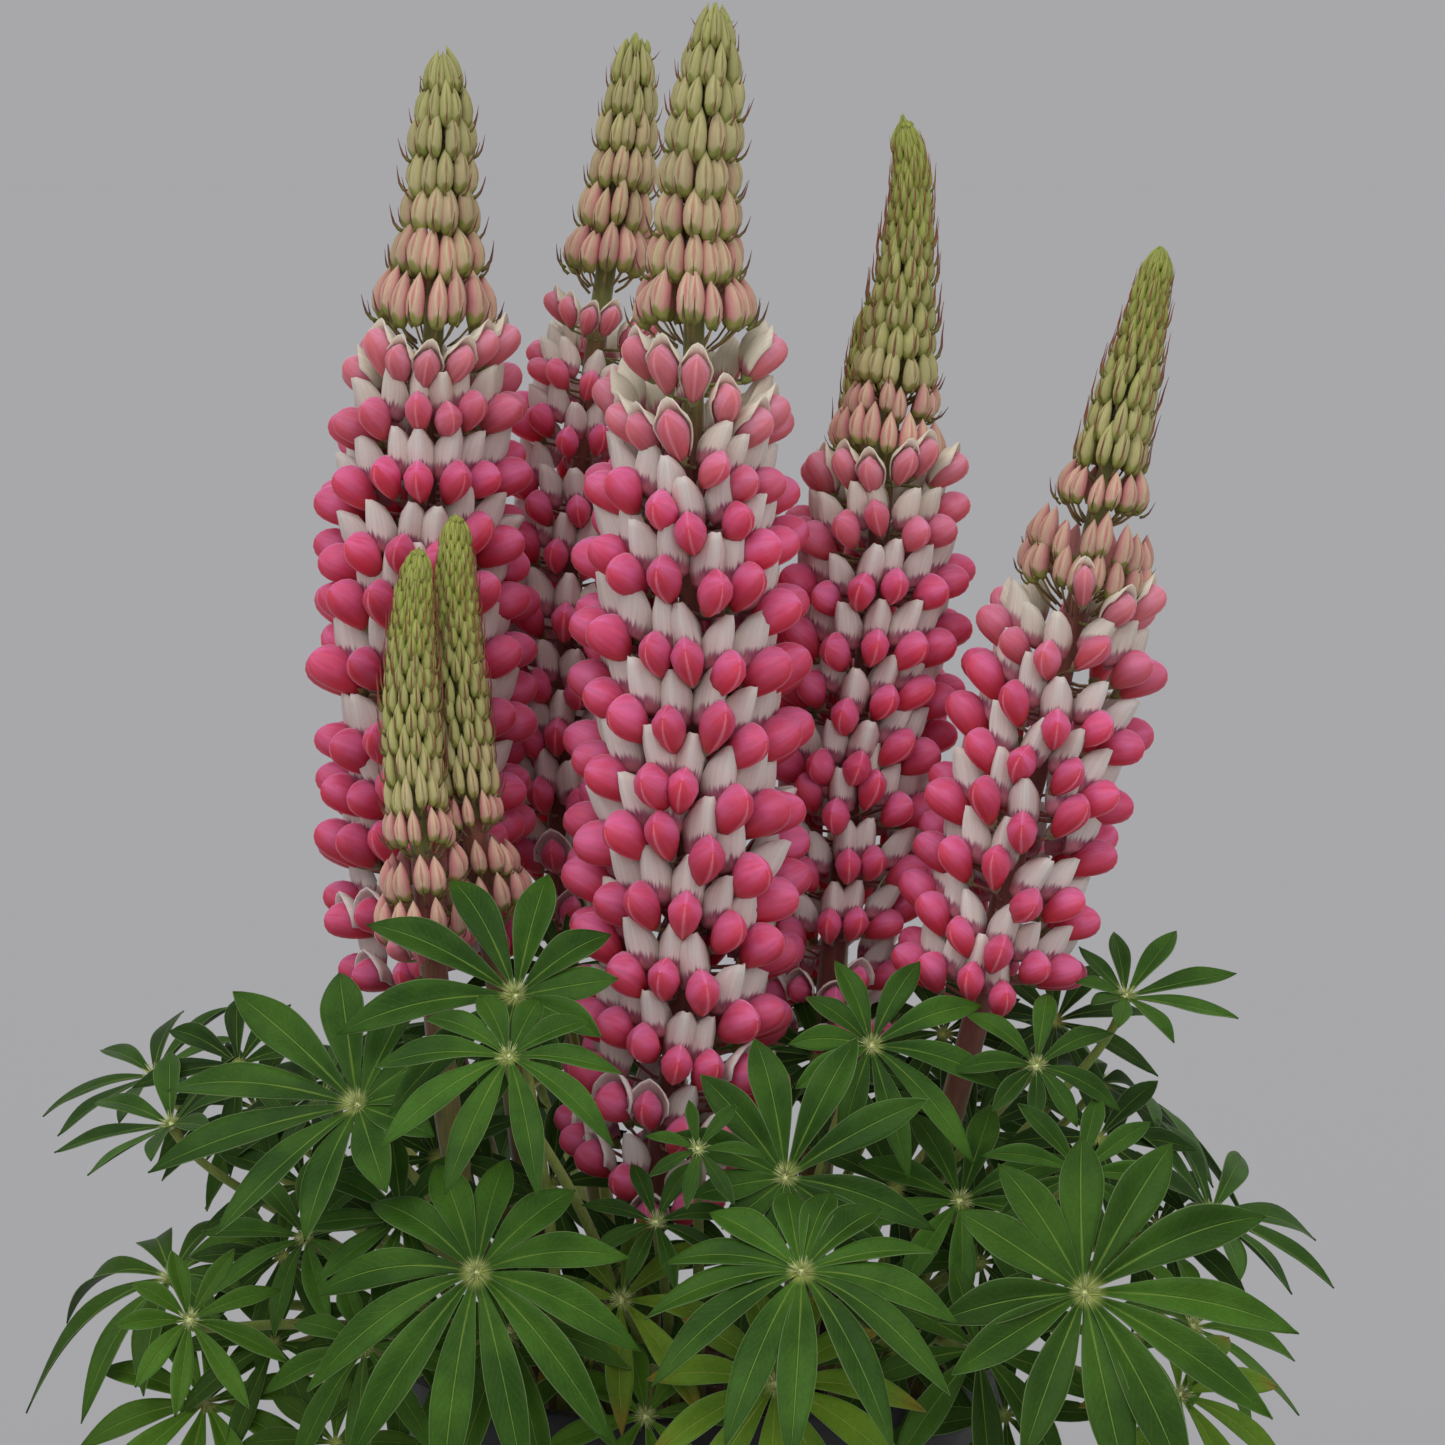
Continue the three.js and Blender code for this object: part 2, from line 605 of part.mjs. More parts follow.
// A bud grown from one cell of the stalk: an upright almond.
function growBud(surface, cell, spot, radius, height) {
  const [a, b, c, d] = cell;
  const [near, far, front, tip] =
    BUD_POINTS.map(([out, side, up]) => surface.point(spot(out * radius, side * radius, up * height)));
  surface.face(a, b, front);
  surface.face(b, c, far);
  surface.face(c, d, tip);
  surface.face(d, a, near);
  surface.face(a, front, near);
  surface.face(b, far, front);
  surface.face(c, tip, far);
  surface.face(d, near, tip);
  surface.face(near, front, tip);
  surface.face(front, far, tip);
}

// A young bud, still a pointed scale.
function growScale(surface, cell, spot, radius, height) {
  const [a, b, c, d] = cell;
  const [front, tip] =
    SCALE_POINTS.map(([out, side, up]) => surface.point(spot(out * radius, side, up * height)));
  surface.face(a, b, front);
  surface.face(b, tip, front);
  surface.face(b, c, tip);
  surface.face(c, d, tip);
  surface.face(d, a, tip);
  surface.face(a, front, tip);
}

// Grows something from each of the cells between two rings of the stalk.
function growWhorl(line, height, lower, upper, turn, grow) {
  const frame = line.at(height);
  for (let side = 0; side < AROUND; side += 1) {
    const next = (side + 1) % AROUND;
    const spot = placeOn(frame, turn + WHORL_TURN * (2 * side + 1));
    grow([lower[side], lower[next], upper[next], upper[side]], spot);
  }
}

function stalkRing(surface, line, height, radius, turn) {
  const { place, across, over } = line.at(height);
  return surface.ring(place, across, over, radius, AROUND, turn);
}

// The bare foot of a spike, from the soil to its lowest whorl. It stands upright in the soil.
function makeStalk(spike, line, top) {
  const surface = new Surface();
  const [x, y] = spike.root;
  const level = (height) => {
    const centre = new THREE.Vector3(x, y, height);
    return surface.ring(centre, X_AXIS, Y_AXIS, STALK_RADIUS, AROUND, 0);
  };
  const foot = SOIL_TOP + STEM_UPRIGHT;
  const steps = Math.ceil((top - foot) / STALK_STEP);
  const rings = [level(SOIL_TOP - ROOT_DEPTH), level(foot)];
  for (let step = 1; step <= steps; step += 1) {
    const height = foot + (step / steps) * (top - foot);
    rings.push(stalkRing(surface, line, height, STALK_RADIUS, 0));
  }
  surface.capBottom(rings[0]);
  for (let index = 1; index < rings.length; index += 1) {
    surface.band(rings[index - 1], rings[index]);
  }
  surface.capTop(rings[rings.length - 1]);
  addPiece(`stalk_${spike.name}`, surface.geometry(), COLOURS.stalk, ROUGHNESS.stalk);
}

// The part of a spike in flower: whorls of flowers round the stalk, every other whorl turned by
// half a place.
function makeFlowers(spike, line, foot, top) {
  const { from, to, whorls, radii } = spike.flowers;
  const surface = new Surface();
  const pull = 2 * radii[1] - (radii[0] + radii[2]) / 2;
  let below = stalkRing(surface, line, foot, STALK_RADIUS, 0);
  surface.capBottom(below);
  for (let whorl = 0; whorl < whorls; whorl += 1) {
    const share = whorl / (whorls - 1);
    const height = from + share * (to - from);
    const turn = whorl * WHORL_TURN;
    const core = STALK_RADIUS + share * (CORE_TOP_RADIUS - STALK_RADIUS);
    const left = 1 - share;
    const radius = left ** 2 * radii[0] + 2 * share * left * pull + share ** 2 * radii[2];
    const lower = stalkRing(surface, line, height - PEDICEL_HEIGHT / 2, core, turn);
    const upper = stalkRing(surface, line, height + PEDICEL_HEIGHT / 2, core, turn);
    surface.band(below, lower);
    const grow = (cell, spot) => growFlower(surface, cell, spot, radius);
    growWhorl(line, height, lower, upper, turn, grow);
    below = upper;
  }
  const end = stalkRing(surface, line, top, CORE_TOP_RADIUS, whorls * WHORL_TURN);
  surface.band(below, end);
  surface.capTop(end);
  addPiece(`flowers_${spike.name}`, surface.geometry(), COLOURS.flowers, ROUGHNESS.petal);
}

// The tip of a spike: rows of buds, each row turned by half a place from the one below.
function makeBuds(spike, line, foot) {
  const { radii, tip } = spike.buds;
  const surface = new Surface();
  const step = (tip - foot) / (radii.length + 0.5);
  let below = stalkRing(surface, line, foot, CORE_TOP_RADIUS, 0);
  surface.capBottom(below);
  radii.forEach((radius, row) => {
    const core = Math.min(BUD_CORE * radius, BUD_CORE_MOST);
    const upper = stalkRing(surface, line, foot + (row + 1) * step, core, (row + 1) * WHORL_TURN);
    const turn = (row + 0.5) * WHORL_TURN;
    const grow = radius > SCALE_RADIUS || step > SCALE_STEP
      ? (cell, spot) => growBud(surface, cell, spot, radius, BUD_HEIGHT * step)
      : (cell, spot) => growScale(surface, cell, spot, radius, SCALE_HEIGHT * step);
    growWhorl(line, foot + (row + BUD_FOOT) * step, below, upper, turn, grow);
    below = upper;
  });
  const end = surface.point(line.at(tip).place);
  for (let side = 0; side < AROUND; side += 1) {
    surface.face(below[side], below[(side + 1) % AROUND], end);
  }
  addPiece(`buds_${spike.name}`, surface.geometry(), COLOURS.buds, ROUGHNESS.petal);
}

function makeSpike(spike) {
  const line = new SpikeLine(spike);
  let foot = spike.buds.from;
  if (spike.flowers) {
    const flowerFoot = spike.flowers.from - PEDICEL_HEIGHT;
    const flowerTop = spike.flowers.to + PEDICEL_HEIGHT;
    makeStalk(spike, line, flowerFoot - GAP);
    makeFlowers(spike, line, flowerFoot, flowerTop);
    foot = flowerTop + GAP;
  } else {
    makeStalk(spike, line, foot - GAP);
  }
  makeBuds(spike, line, foot);
}

makePot();
makeSoil();
SPIKES.forEach(makeSpike);
LEAVES.forEach(makeLeaf);

export default group;
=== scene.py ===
# A pink and white lupin in a black nursery pot: its looks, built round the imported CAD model.
# Lengths below are in millimetres unless a name or a comment says otherwise, and MM turns them into
# metres.
# +Z is up, +X is the viewer's right and -Y faces the viewer, as in the CAD model.

import math
import zlib

import bpy
import numpy as np
from mathutils import Matrix, Vector


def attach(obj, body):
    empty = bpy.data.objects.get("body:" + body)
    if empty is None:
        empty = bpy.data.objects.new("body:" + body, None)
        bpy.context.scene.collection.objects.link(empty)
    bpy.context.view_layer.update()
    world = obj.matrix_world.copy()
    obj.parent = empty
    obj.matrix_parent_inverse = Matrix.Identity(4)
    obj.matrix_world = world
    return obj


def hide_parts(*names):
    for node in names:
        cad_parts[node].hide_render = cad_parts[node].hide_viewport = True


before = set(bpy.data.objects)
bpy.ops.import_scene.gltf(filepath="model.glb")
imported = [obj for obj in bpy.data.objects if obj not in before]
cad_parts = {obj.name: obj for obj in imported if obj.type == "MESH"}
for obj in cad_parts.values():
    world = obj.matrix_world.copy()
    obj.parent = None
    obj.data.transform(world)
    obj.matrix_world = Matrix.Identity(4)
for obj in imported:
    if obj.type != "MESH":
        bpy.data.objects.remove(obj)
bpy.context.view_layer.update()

MM = 0.001

# Pot and soil
POT_HEIGHT = 160
POT_BASE_RADIUS = 66
POT_RIM_RADIUS = 95
POT_WALL = 2.4
POT_FLOOR = 3
RIM_LIP = 4
RIM_HEIGHT = 13
DRAIN_COUNT = 5
DRAIN_RADIUS = 6
DRAIN_CIRCLE = 48
SOIL_TOP = 146
STEM_UPRIGHT = 2
ROOT_DEPTH = 12

# Spikes
STALK_RADIUS = 4.0
STALK_TOP_RADIUS = 2.6
FLOWER_AT = 31
FLORET_SIZE = 1.07
PEDICEL_RADIUS = 0.55
WHORL_MARGIN = 5
AGED_SHARE = 0.14

# Leaves
PETIOLE_RADIUS = 1.8
LEAFLET_REACH_WIDTH = 0.13
LEAFLET_LENGTH_WIDTH = 0.085
LEAFLET_WIDEST = 0.62
LEAFLET_RISE = 0.3
LEAFLET_SAG = 0.6
HUB_DEPTH = 2.5
PETIOLE_RISE = 0.6
PETIOLE_LEAST_RISE = 48
PETIOLE_LEAN = 0.2
PETIOLE_APPROACH = 0.25
BLADE_THICKNESS = 0.55
HAIRS = 80

# Each spike, from the foot up.
# root is where it stands in the soil, and line the points that its stalk passes through.
# flowers are its whorls: the heights of the lowest and the highest one (low, high), how many there
# are, how many florets go around one, their radius at the foot, halfway and at the top, and how many
# whorls down (strands) a whorl winds in one turn. The florets above `opening` are just opening, there
# are none above `last`, and `aged` is how many of the lowest have faded, out of 1.
# buds stand in rows from `low` to `tip`: the radii to read between, how far apart the first and the
# last row are (steps), the fewest buds around a row, and how pale the lowest are, out of 1. loose
# lists rows of buds below them on longer stalks: height, radius, and a bud's breadth and length.
SPIKES = [
    dict(name="left", root=(-46, 2),
         line=[(-64, 4, 215), (-81, 6, 275), (-83, 6, 357), (-81, 6, 441), (-78, 6, 489),
               (-76, 6, 537), (-77, 6, 549)],
         flowers=dict(low=280, high=460, whorls=11, around=14, radii=(28, 33, 27), strands=-1,
                  opening=450, last=466),
         buds=dict(low=470, radii=(20.5, 16.5, 13.3, 11.6, 10.8, 8.8), tip=549, steps=(14, 8),
                   around=11)),
    dict(name="back", root=(-22, 30),
         line=[(-36, 42, 230), (-43, 46, 291), (-40, 46, 384), (-30, 46, 476), (-23, 46, 520),
               (-19, 46, 557)],
         flowers=dict(low=290, high=470, whorls=11, around=13, radii=(25, 28.5, 19), strands=1,
                  opening=461, last=474, aged=0.2),
         buds=dict(low=485, radii=(17.5, 13, 11.2, 10.2, 9.2, 7.4), tip=558, steps=(13, 8), around=11)),
    dict(name="centre", root=(-16, -22),
         line=[(-14, -34, 205), (-5, -35, 272), (-3, -35, 332), (-2, -35, 420), (0, -35, 507),
               (4, -35, 548), (5, -35, 563)],
         flowers=dict(low=222, high=455, whorls=13, around=14, radii=(29, 35, 28), strands=2,
                  opening=439, last=464),
         buds=dict(low=471, radii=(21.5, 17, 13.5, 13, 12.2, 11, 8.5), tip=564, steps=(13, 9),
                   around=11)),
    dict(name="right", root=(26, 4),
         line=[(35, 4, 220), (41, 4, 286), (51, 3, 377), (56, 2, 432), (61, 2, 480), (63, 2, 515),
               (61, 1, 530)],
         flowers=dict(low=260, high=444, whorls=12, around=13, radii=(21, 29, 24), strands=-1,
                  opening=416, last=434),
         buds=dict(low=442, radii=(14, 12, 11, 10, 9, 8, 7, 6.2, 5.4), tip=531,
                   loose=((437, 17.5, 5.3, 12.5),), steps=(9.5, 3), around=11)),
    dict(name="leaning", root=(46, -16),
         line=[(66, -22, 205), (82, -26, 264), (94, -25, 317), (106, -22, 362), (116, -20, 408),
               (130, -20, 467), (136, -20, 493)],
         flowers=dict(low=274, high=409, whorls=9, around=11, radii=(27, 30, 23), strands=1,
                  opening=380, last=394, aged=0.1),
         buds=dict(low=417, radii=(15, 12.5, 11, 10, 9.5, 8.5, 7.2, 6.2, 5.2), tip=494,
                   loose=((406, 19, 5.4, 13), (400, 20, 5.2, 12)), steps=(11, 2.4), around=11)),
    dict(name="young_front", root=(-52, -34),
         line=[(-72, -46, 230), (-78, -48, 290), (-83, -48, 345), (-83, -48, 386), (-81, -48, 407)],
         flowers=dict(low=292, high=311, whorls=2, around=11, radii=(17, 16, 15), strands=0,
                  opening=280, last=303),
         buds=dict(low=320.5, radii=(11, 10.3, 9.5, 9, 9, 9, 8.5, 8, 7.5, 6.8, 6, 5), tip=407,
                   loose=((312.5, 13, 4.9, 11), (301, 15.5, 5.2, 12)), steps=(9.6, 2), around=12,
                   pale=0.85)),
    dict(name="young_side", root=(-42, -20),
         line=[(-54, -27, 240), (-61, -31, 290), (-67, -35, 330), (-71, -35, 376), (-71, -35, 416)],
         buds=dict(low=324.5, radii=(9.5, 9.4, 9, 9, 9, 8.5, 8, 7.5, 6.8, 6, 5), tip=416,
                   loose=((316, 12, 4.8, 10.5), (305, 14, 5, 11.5)), steps=(8.8, 2), around=12,
                   pale=0.85)),
    dict(name="young_back", root=(32, 26),
         line=[(41, 40, 260), (46, 42, 380), (49, 42, 440), (53, 42, 477)],
         buds=dict(low=402, radii=(8, 8, 7.5, 7.5, 7, 6.3, 5.6, 4.8), tip=477, steps=(8, 3),
                   around=11)),
]

# Each leaf: its hub, the way its upper face looks (degrees right of the viewer, degrees above level),
# the length of its longest leaflet, how many leaflets, the way the longest one points (degrees from
# the right, anticlockwise), how much shorter the opposite one is, how far the leaflets arch over,
# and how far from the pot's axis its stalk stands in the soil.
LEAVES = {
    "leaf_01": ((-52, -84, 281), (0, 36), 56, 10, 150, 0.5, 0.3, 74),
    "leaf_02": ((-53, -112, 268), (0, 48), 44, 10, -110, 0.4, 0.4, 42),
    "leaf_03": ((-97, -88, 250), (-25, 45), 64, 11, 175, 0.5, 0.2, 70),
    "leaf_04": ((-62, -118, 208), (-5, 27), 55, 12, -100, 0.2, 0.5, 58),
    "leaf_05": ((29, -128, 210), (0, 50), 54, 13, -90, 0.35, 0.45, 60),
    "leaf_06": ((109, -112, 201), (5, 25), 62, 12, 0, 0.28, 0.25, 74),
    "leaf_07": ((25, -92, 230), (0, 25), 52, 11, 60, 0.55, 0.25, 46),
    "leaf_08": ((50, -62, 263), (10, 30), 42, 10, -10, 0.4, 0.35, 38),
    "leaf_09": ((22, -110, 174), (0, 35), 46, 11, -62, 0.2, 0.4, 76),
    "leaf_10": ((-54, -100, 187), (-5, 30), 44, 10, -68, 0.5, 0.45, 76),
    "leaf_11": ((-22, -90, 194), (5, 35), 38, 8, -52, 0.2, 0.3, 64),
    "leaf_12": ((80, -92, 180), (10, 25), 42, 9, -95, 0.3, 0.35, 66),
    "leaf_13": ((110, -76, 228), (10, 30), 32, 9, 120, 0.2, 0.3, 60),
    "leaf_14": ((126, -34, 273), (20, 60), 36, 9, 0, 0.55, 0.1, 58),
    "leaf_15": ((-157, -25, 233), (-50, 60), 38, 8, 180, 0.3, 0.12, 72),
    "leaf_16": ((-168, 32, 238), (-60, 60), 40, 8, 180, 0.2, 0.2, 70),
    "leaf_17": ((-155, -46, 191), (-40, 55), 52, 9, 180, 0.4, 0.6, 78),
    "leaf_18": ((-145, -98, 190), (10, 30), 31, 9, -20, 0.3, 0.25, 74),
    "leaf_19": ((-144, -64, 158), (0, 40), 45, 10, -60, 0.2, 0.35, 66),
    "leaf_20": ((0, -102, 240), (0, 35), 20, 7, 0, 0.2, 0.2, 36),
    "leaf_21": ((98, -62, 257), (10, 30), 34, 8, 80, 0.5, 0.45, 50),
    "leaf_22": ((152, -30, 207), (60, 50), 46, 9, 20, 0.3, 0.2, 74),
    "leaf_23": ((144, -62, 180), (50, 45), 38, 9, -20, 0.2, 0.35, 78),
    "leaf_24": ((-114, -64, 207), (-20, 40), 34, 9, 180, 0.2, 0.3, 76),
    "leaf_25": ((-112, -18, 240), (-60, 50), 35, 8, 120, 0.2, 0.2, 56),
    "leaf_26": ((-112, 72, 230), (-125, 50), 55, 11, -90, 0.2, 0.4, 60),
    "leaf_27": ((-52, 108, 222), (-155, 45), 55, 11, -90, 0.2, 0.4, 66),
    "leaf_28": ((18, 116, 232), (175, 45), 55, 11, -90, 0.2, 0.4, 60),
    "leaf_29": ((82, 92, 218), (140, 45), 55, 11, -90, 0.2, 0.4, 66),
    "leaf_30": ((124, 42, 234), (110, 50), 55, 11, -90, 0.2, 0.4, 60),
    "leaf_31": ((-12, -88, 216), (0, 40), 26, 8, 64, 0.2, 0.3, 54),
    "leaf_32": ((76, -66, 218), (5, 35), 40, 9, 30, 0.2, 0.35, 52),
    "leaf_33": ((-84, -98, 219), (-10, 35), 34, 9, 100, 0.2, 0.35, 57),
    "leaf_34": ((-15, -98, 162), (0, 25), 36, 8, -80, 0.2, 0.4, 78),
    "leaf_35": ((138, -88, 166), (25, 30), 40, 9, -70, 0.2, 0.45, 66),
    "leaf_36": ((-94, -106, 184), (-20, 30), 36, 9, -80, 0.3, 0.5, 75),
}
# Leaves that turn yellow, and leaves in the shade of the others, whose darker tone is painted shade
YELLOW_LEAVES = ("leaf_09", "leaf_11", "leaf_35")
PAINTED_SHADE_LEAVES = ("leaf_15", "leaf_16", "leaf_17", "leaf_18", "leaf_19", "leaf_20", "leaf_25")

# The small leaves that fill the crown between the stalks, crown_01 to crown_26, listed in the same way,
# but with one unevenness and one arch for all.
CROWN_UNEVEN = 0.2
CROWN_ARCH = 0.3
CROWN_LEAVES = [
    ((-77, -40, 226), (-5, 30), 36, 9, -90, 40),
    ((-44, -30, 216), (5, 30), 38, 9, -80, 30),
    ((-22, -45, 197), (0, 35), 34, 8, -90, 34),
    ((58, -40, 217), (5, 30), 36, 9, -90, 36),
    ((82, -20, 230), (10, 30), 36, 9, -60, 44),
    ((-117, -30, 216), (-15, 35), 34, 8, -110, 62),
    ((-124, -60, 175), (-10, 30), 34, 8, -100, 70),
    ((-86, -66, 176), (-5, 30), 34, 8, -90, 60),
    ((-31, -72, 174), (0, 30), 32, 8, -90, 62),
    ((58, -60, 173), (0, 30), 34, 8, -90, 58),
    ((138, -10, 200), (25, 35), 34, 8, -90, 66),
    ((106, -30, 213), (10, 30), 36, 8, -90, 56),
    ((36, -4, 250), (0, 30), 36, 9, -90, 20),
    ((74, 4, 256), (10, 35), 34, 9, -90, 40),
    ((-42, 12, 275), (0, 40), 34, 9, -90, 24),
    ((-135, 10, 232), (-30, 40), 34, 8, -140, 62),
    ((58, 20, 236), (5, 30), 34, 8, -90, 30),
    ((12, -50, 197), (0, 30), 32, 8, -90, 40),
    ((89, -76, 157), (5, 30), 34, 8, -90, 70),
    ((-105, -80, 150), (-10, 30), 32, 8, -90, 76),
    ((108, 8, 259), (15, 35), 34, 9, -70, 56),
    ((-139, 0, 247), (-20, 35), 34, 8, -120, 66),
    ((119, -24, 229), (15, 30), 34, 8, -90, 60),
    ((82, -66, 200), (5, 30), 32, 8, -90, 60),
    ((-122, -52, 199), (-15, 30), 32, 8, -90, 66),
    ((-74, -14, 243), (-10, 35), 34, 8, -100, 40),
]


def random_for(name):
    return np.random.default_rng(zlib.crc32(name.encode()))


def unit(vector):
    return vector / np.linalg.norm(vector)


def smooth(low, high, value):
    share = np.clip((value - low) / (high - low), 0, 1)
    return share * share * (3 - 2 * share)


def between(share, places, values):
    return np.interp(share, places, values)


# Meshes

NUMBERS = ("along", "across", "tone", "age")


class Form:
    """Points and faces, with the numbers that the materials read at each point."""

    def __init__(self, points, quads, tris, along, across, paint=0):
        self.points = np.asarray(points, float).reshape(-1, 3)
        self.quads = np.asarray(quads, int).reshape(-1, 4)
        self.tris = np.asarray(tris, int).reshape(-1, 3)
        self.along = np.broadcast_to(np.asarray(along, float).ravel(), len(self.points))
        self.across = np.broadcast_to(np.asarray(across, float).ravel(), len(self.points))
        self.paint = paint
        self.turn_outward()

    def turn_outward(self):
        fans = np.concatenate([self.quads[:, :3], self.quads[:, [0, 2, 3]], self.tris])
        a, b, c = (self.points[fans[:, corner]] for corner in range(3))
        if np.einsum("ij,ij->", a, np.cross(b, c)) < 0:
            self.quads = self.quads[:, ::-1]
            self.tris = self.tris[:, ::-1]


def loft(rings, start, end, along, paint=0, across=None):
    """A closed form through rings of points, closed by a point at each end."""
    rings = np.asarray(rings, float)
    count, sides = rings.shape[:2]
    points = np.concatenate([rings.reshape(-1, 3), [start], [end]])
    here = np.arange(sides)
    following = (here + 1) % sides
    quads = []
    for ring in range(count - 1):
        low, high = ring * sides, (ring + 1) * sides
        quads.append(np.stack([low + here, low + following, high + following, high + here], 1))
    last = (count - 1) * sides
    first_point, last_point = count * sides, count * sides + 1
    tris = np.concatenate([
        np.stack([following, here, np.full(sides, first_point)], 1),
        np.stack([last + here, last + following, np.full(sides, last_point)], 1)])
    along = np.concatenate([np.repeat(along, sides), [along[0], along[-1]]])
    if across is None:
        across = np.zeros(len(points))
    else:
        across = np.concatenate([np.asarray(across, float).ravel(), [0, 0]])
    return Form(points, np.concatenate(quads) if quads else [], tris, along, across, paint)


def sheet(grid, thickness, along, across, paint=0):
    """A closed thin form from a grid of points down the middle of it."""
    grid = np.asarray(grid, float)
    rows, columns = grid.shape[:2]
    normals = np.cross(np.gradient(grid, axis=0), np.gradient(grid, axis=1))
    normals /= np.maximum(np.linalg.norm(normals, axis=2, keepdims=True), 1e-9)
    half = np.asarray(thickness, float) / 2
    half = np.broadcast_to(half, (rows, columns))[..., None]
    points = np.concatenate([(grid + normals * half).reshape(-1, 3),
                             (grid - normals * half).reshape(-1, 3)])
    index = np.arange(rows * columns).reshape(rows, columns)
    front = np.stack([index[:-1, :-1], index[1:, :-1], index[1:, 1:], index[:-1, 1:]], 2)
    front = front.reshape(-1, 4)
    rim = np.concatenate([index[0, :], index[1:, -1], index[-1, -2::-1], index[-2:0:-1, 0]])
    rim_next = np.roll(rim, -1)
    back = rows * columns
    quads = np.concatenate([front, front[:, ::-1] + back,
                            np.stack([rim, rim_next, rim_next + back, rim + back], 1)])
    return Form(points, quads, [], np.tile(np.ravel(along), 2), np.tile(np.ravel(across), 2), paint)


# Any direction that no stem begins in, to start the rings of a stem from
STRAY = [0.31, 0.17, 0.93]


def ring_angles(sides):
    return np.arange(sides) * 2 * math.pi / sides


def sweep(places, radii, sides, along=None, paint=0, ridges=0, depth=0.0):
    """A stem along a list of points, with ridges down its length if asked for."""
    places = np.asarray(places, float)
    radii = np.broadcast_to(np.asarray(radii, float), len(places))
    tangents = np.gradient(places, axis=0)
    tangents /= np.linalg.norm(tangents, axis=1, keepdims=True)
    across = unit(np.cross(tangents[0], STRAY) + 1e-9)
    angles = ring_angles(sides)
    shape = 1 + depth * np.cos(ridges * angles)
    rings = []
    for place, tangent, radius in zip(places, tangents, radii):
        across = unit(across - tangent * across.dot(tangent))
        over = np.cross(tangent, across)
        spokes = np.cos(angles)[:, None] * across + np.sin(angles)[:, None] * over
        rings.append(place + spokes * (radius * shape)[:, None])
    if along is None:
        along = np.linspace(0, 1, len(places))
    return loft(rings, places[0], places[-1], along, paint)


class Piece:
    """Many forms put in place and joined into one Blender object."""

    def __init__(self):
        self.points, self.quads, self.tris = [], [], []
        self.quad_paint, self.tri_paint = [], []
        self.numbers = {name: [] for name in NUMBERS}
        self.count = 0

    def add(self, form, basis=None, origin=(0, 0, 0), tone=0.5, age=0.0):
        points = form.points if basis is None else form.points @ basis
        self.points.append(points + np.asarray(origin, float))
        self.quads.append(form.quads + self.count)
        self.tris.append(form.tris + self.count)
        self.quad_paint.append(np.full(len(form.quads), form.paint))
        self.tri_paint.append(np.full(len(form.tris), form.paint))
        self.numbers["along"].append(form.along)
        self.numbers["across"].append(form.across)
        self.numbers["tone"].append(np.full(len(points), tone))
        self.numbers["age"].append(np.full(len(points), age))
        self.count += len(points)

    def make(self, name, paints, slot, nodes):
        mesh = bpy.data.meshes.new(name)
        points = np.concatenate(self.points) * MM
        quads, tris = np.concatenate(self.quads), np.concatenate(self.tris)
        corners = np.concatenate([quads.ravel(), tris.ravel()]).astype(np.int32)
        starts = np.concatenate([np.arange(len(quads)) * 4, 4 * len(quads) + np.arange(len(tris)) * 3])
        mesh.vertices.add(len(points))
        mesh.vertices.foreach_set("co", points.astype(np.float32).ravel())
        mesh.loops.add(len(corners))
        mesh.loops.foreach_set("vertex_index", corners)
        mesh.polygons.add(len(starts))
        mesh.polygons.foreach_set("loop_start", starts.astype(np.int32))
        painted = np.concatenate(self.quad_paint + self.tri_paint).astype(np.int32)
        mesh.polygons.foreach_set("material_index", painted)
        mesh.update(calc_edges=True)
        mesh.shade_smooth()
        for number, values in self.numbers.items():
            attribute = mesh.attributes.new(number, "FLOAT", "POINT")
            attribute.data.foreach_set("value", np.concatenate(values).astype(np.float32))
        for paint in paints:
            mesh.materials.append(paint)
        return place_object(name, mesh, nodes)


def add_object(name, data):
    made = bpy.data.objects.new(name, data)
    bpy.context.scene.collection.objects.link(made)
    return made


def place_object(name, mesh, nodes):
    made = add_object(name, mesh)
    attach(made, "root")
    if nodes:
        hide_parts(*nodes)
    return made


# Materials

# How far apart the noise on two forms is when one has a tone of 0 and the other of 1
TONE_SPREAD = 37.0


def srgb(red, green, blue):
    def linear(value):
        share = value / 255
        return share / 12.92 if share <= 0.04045 else ((share + 0.055) / 1.055) ** 2.4
    return (linear(red), linear(green), linear(blue), 1)


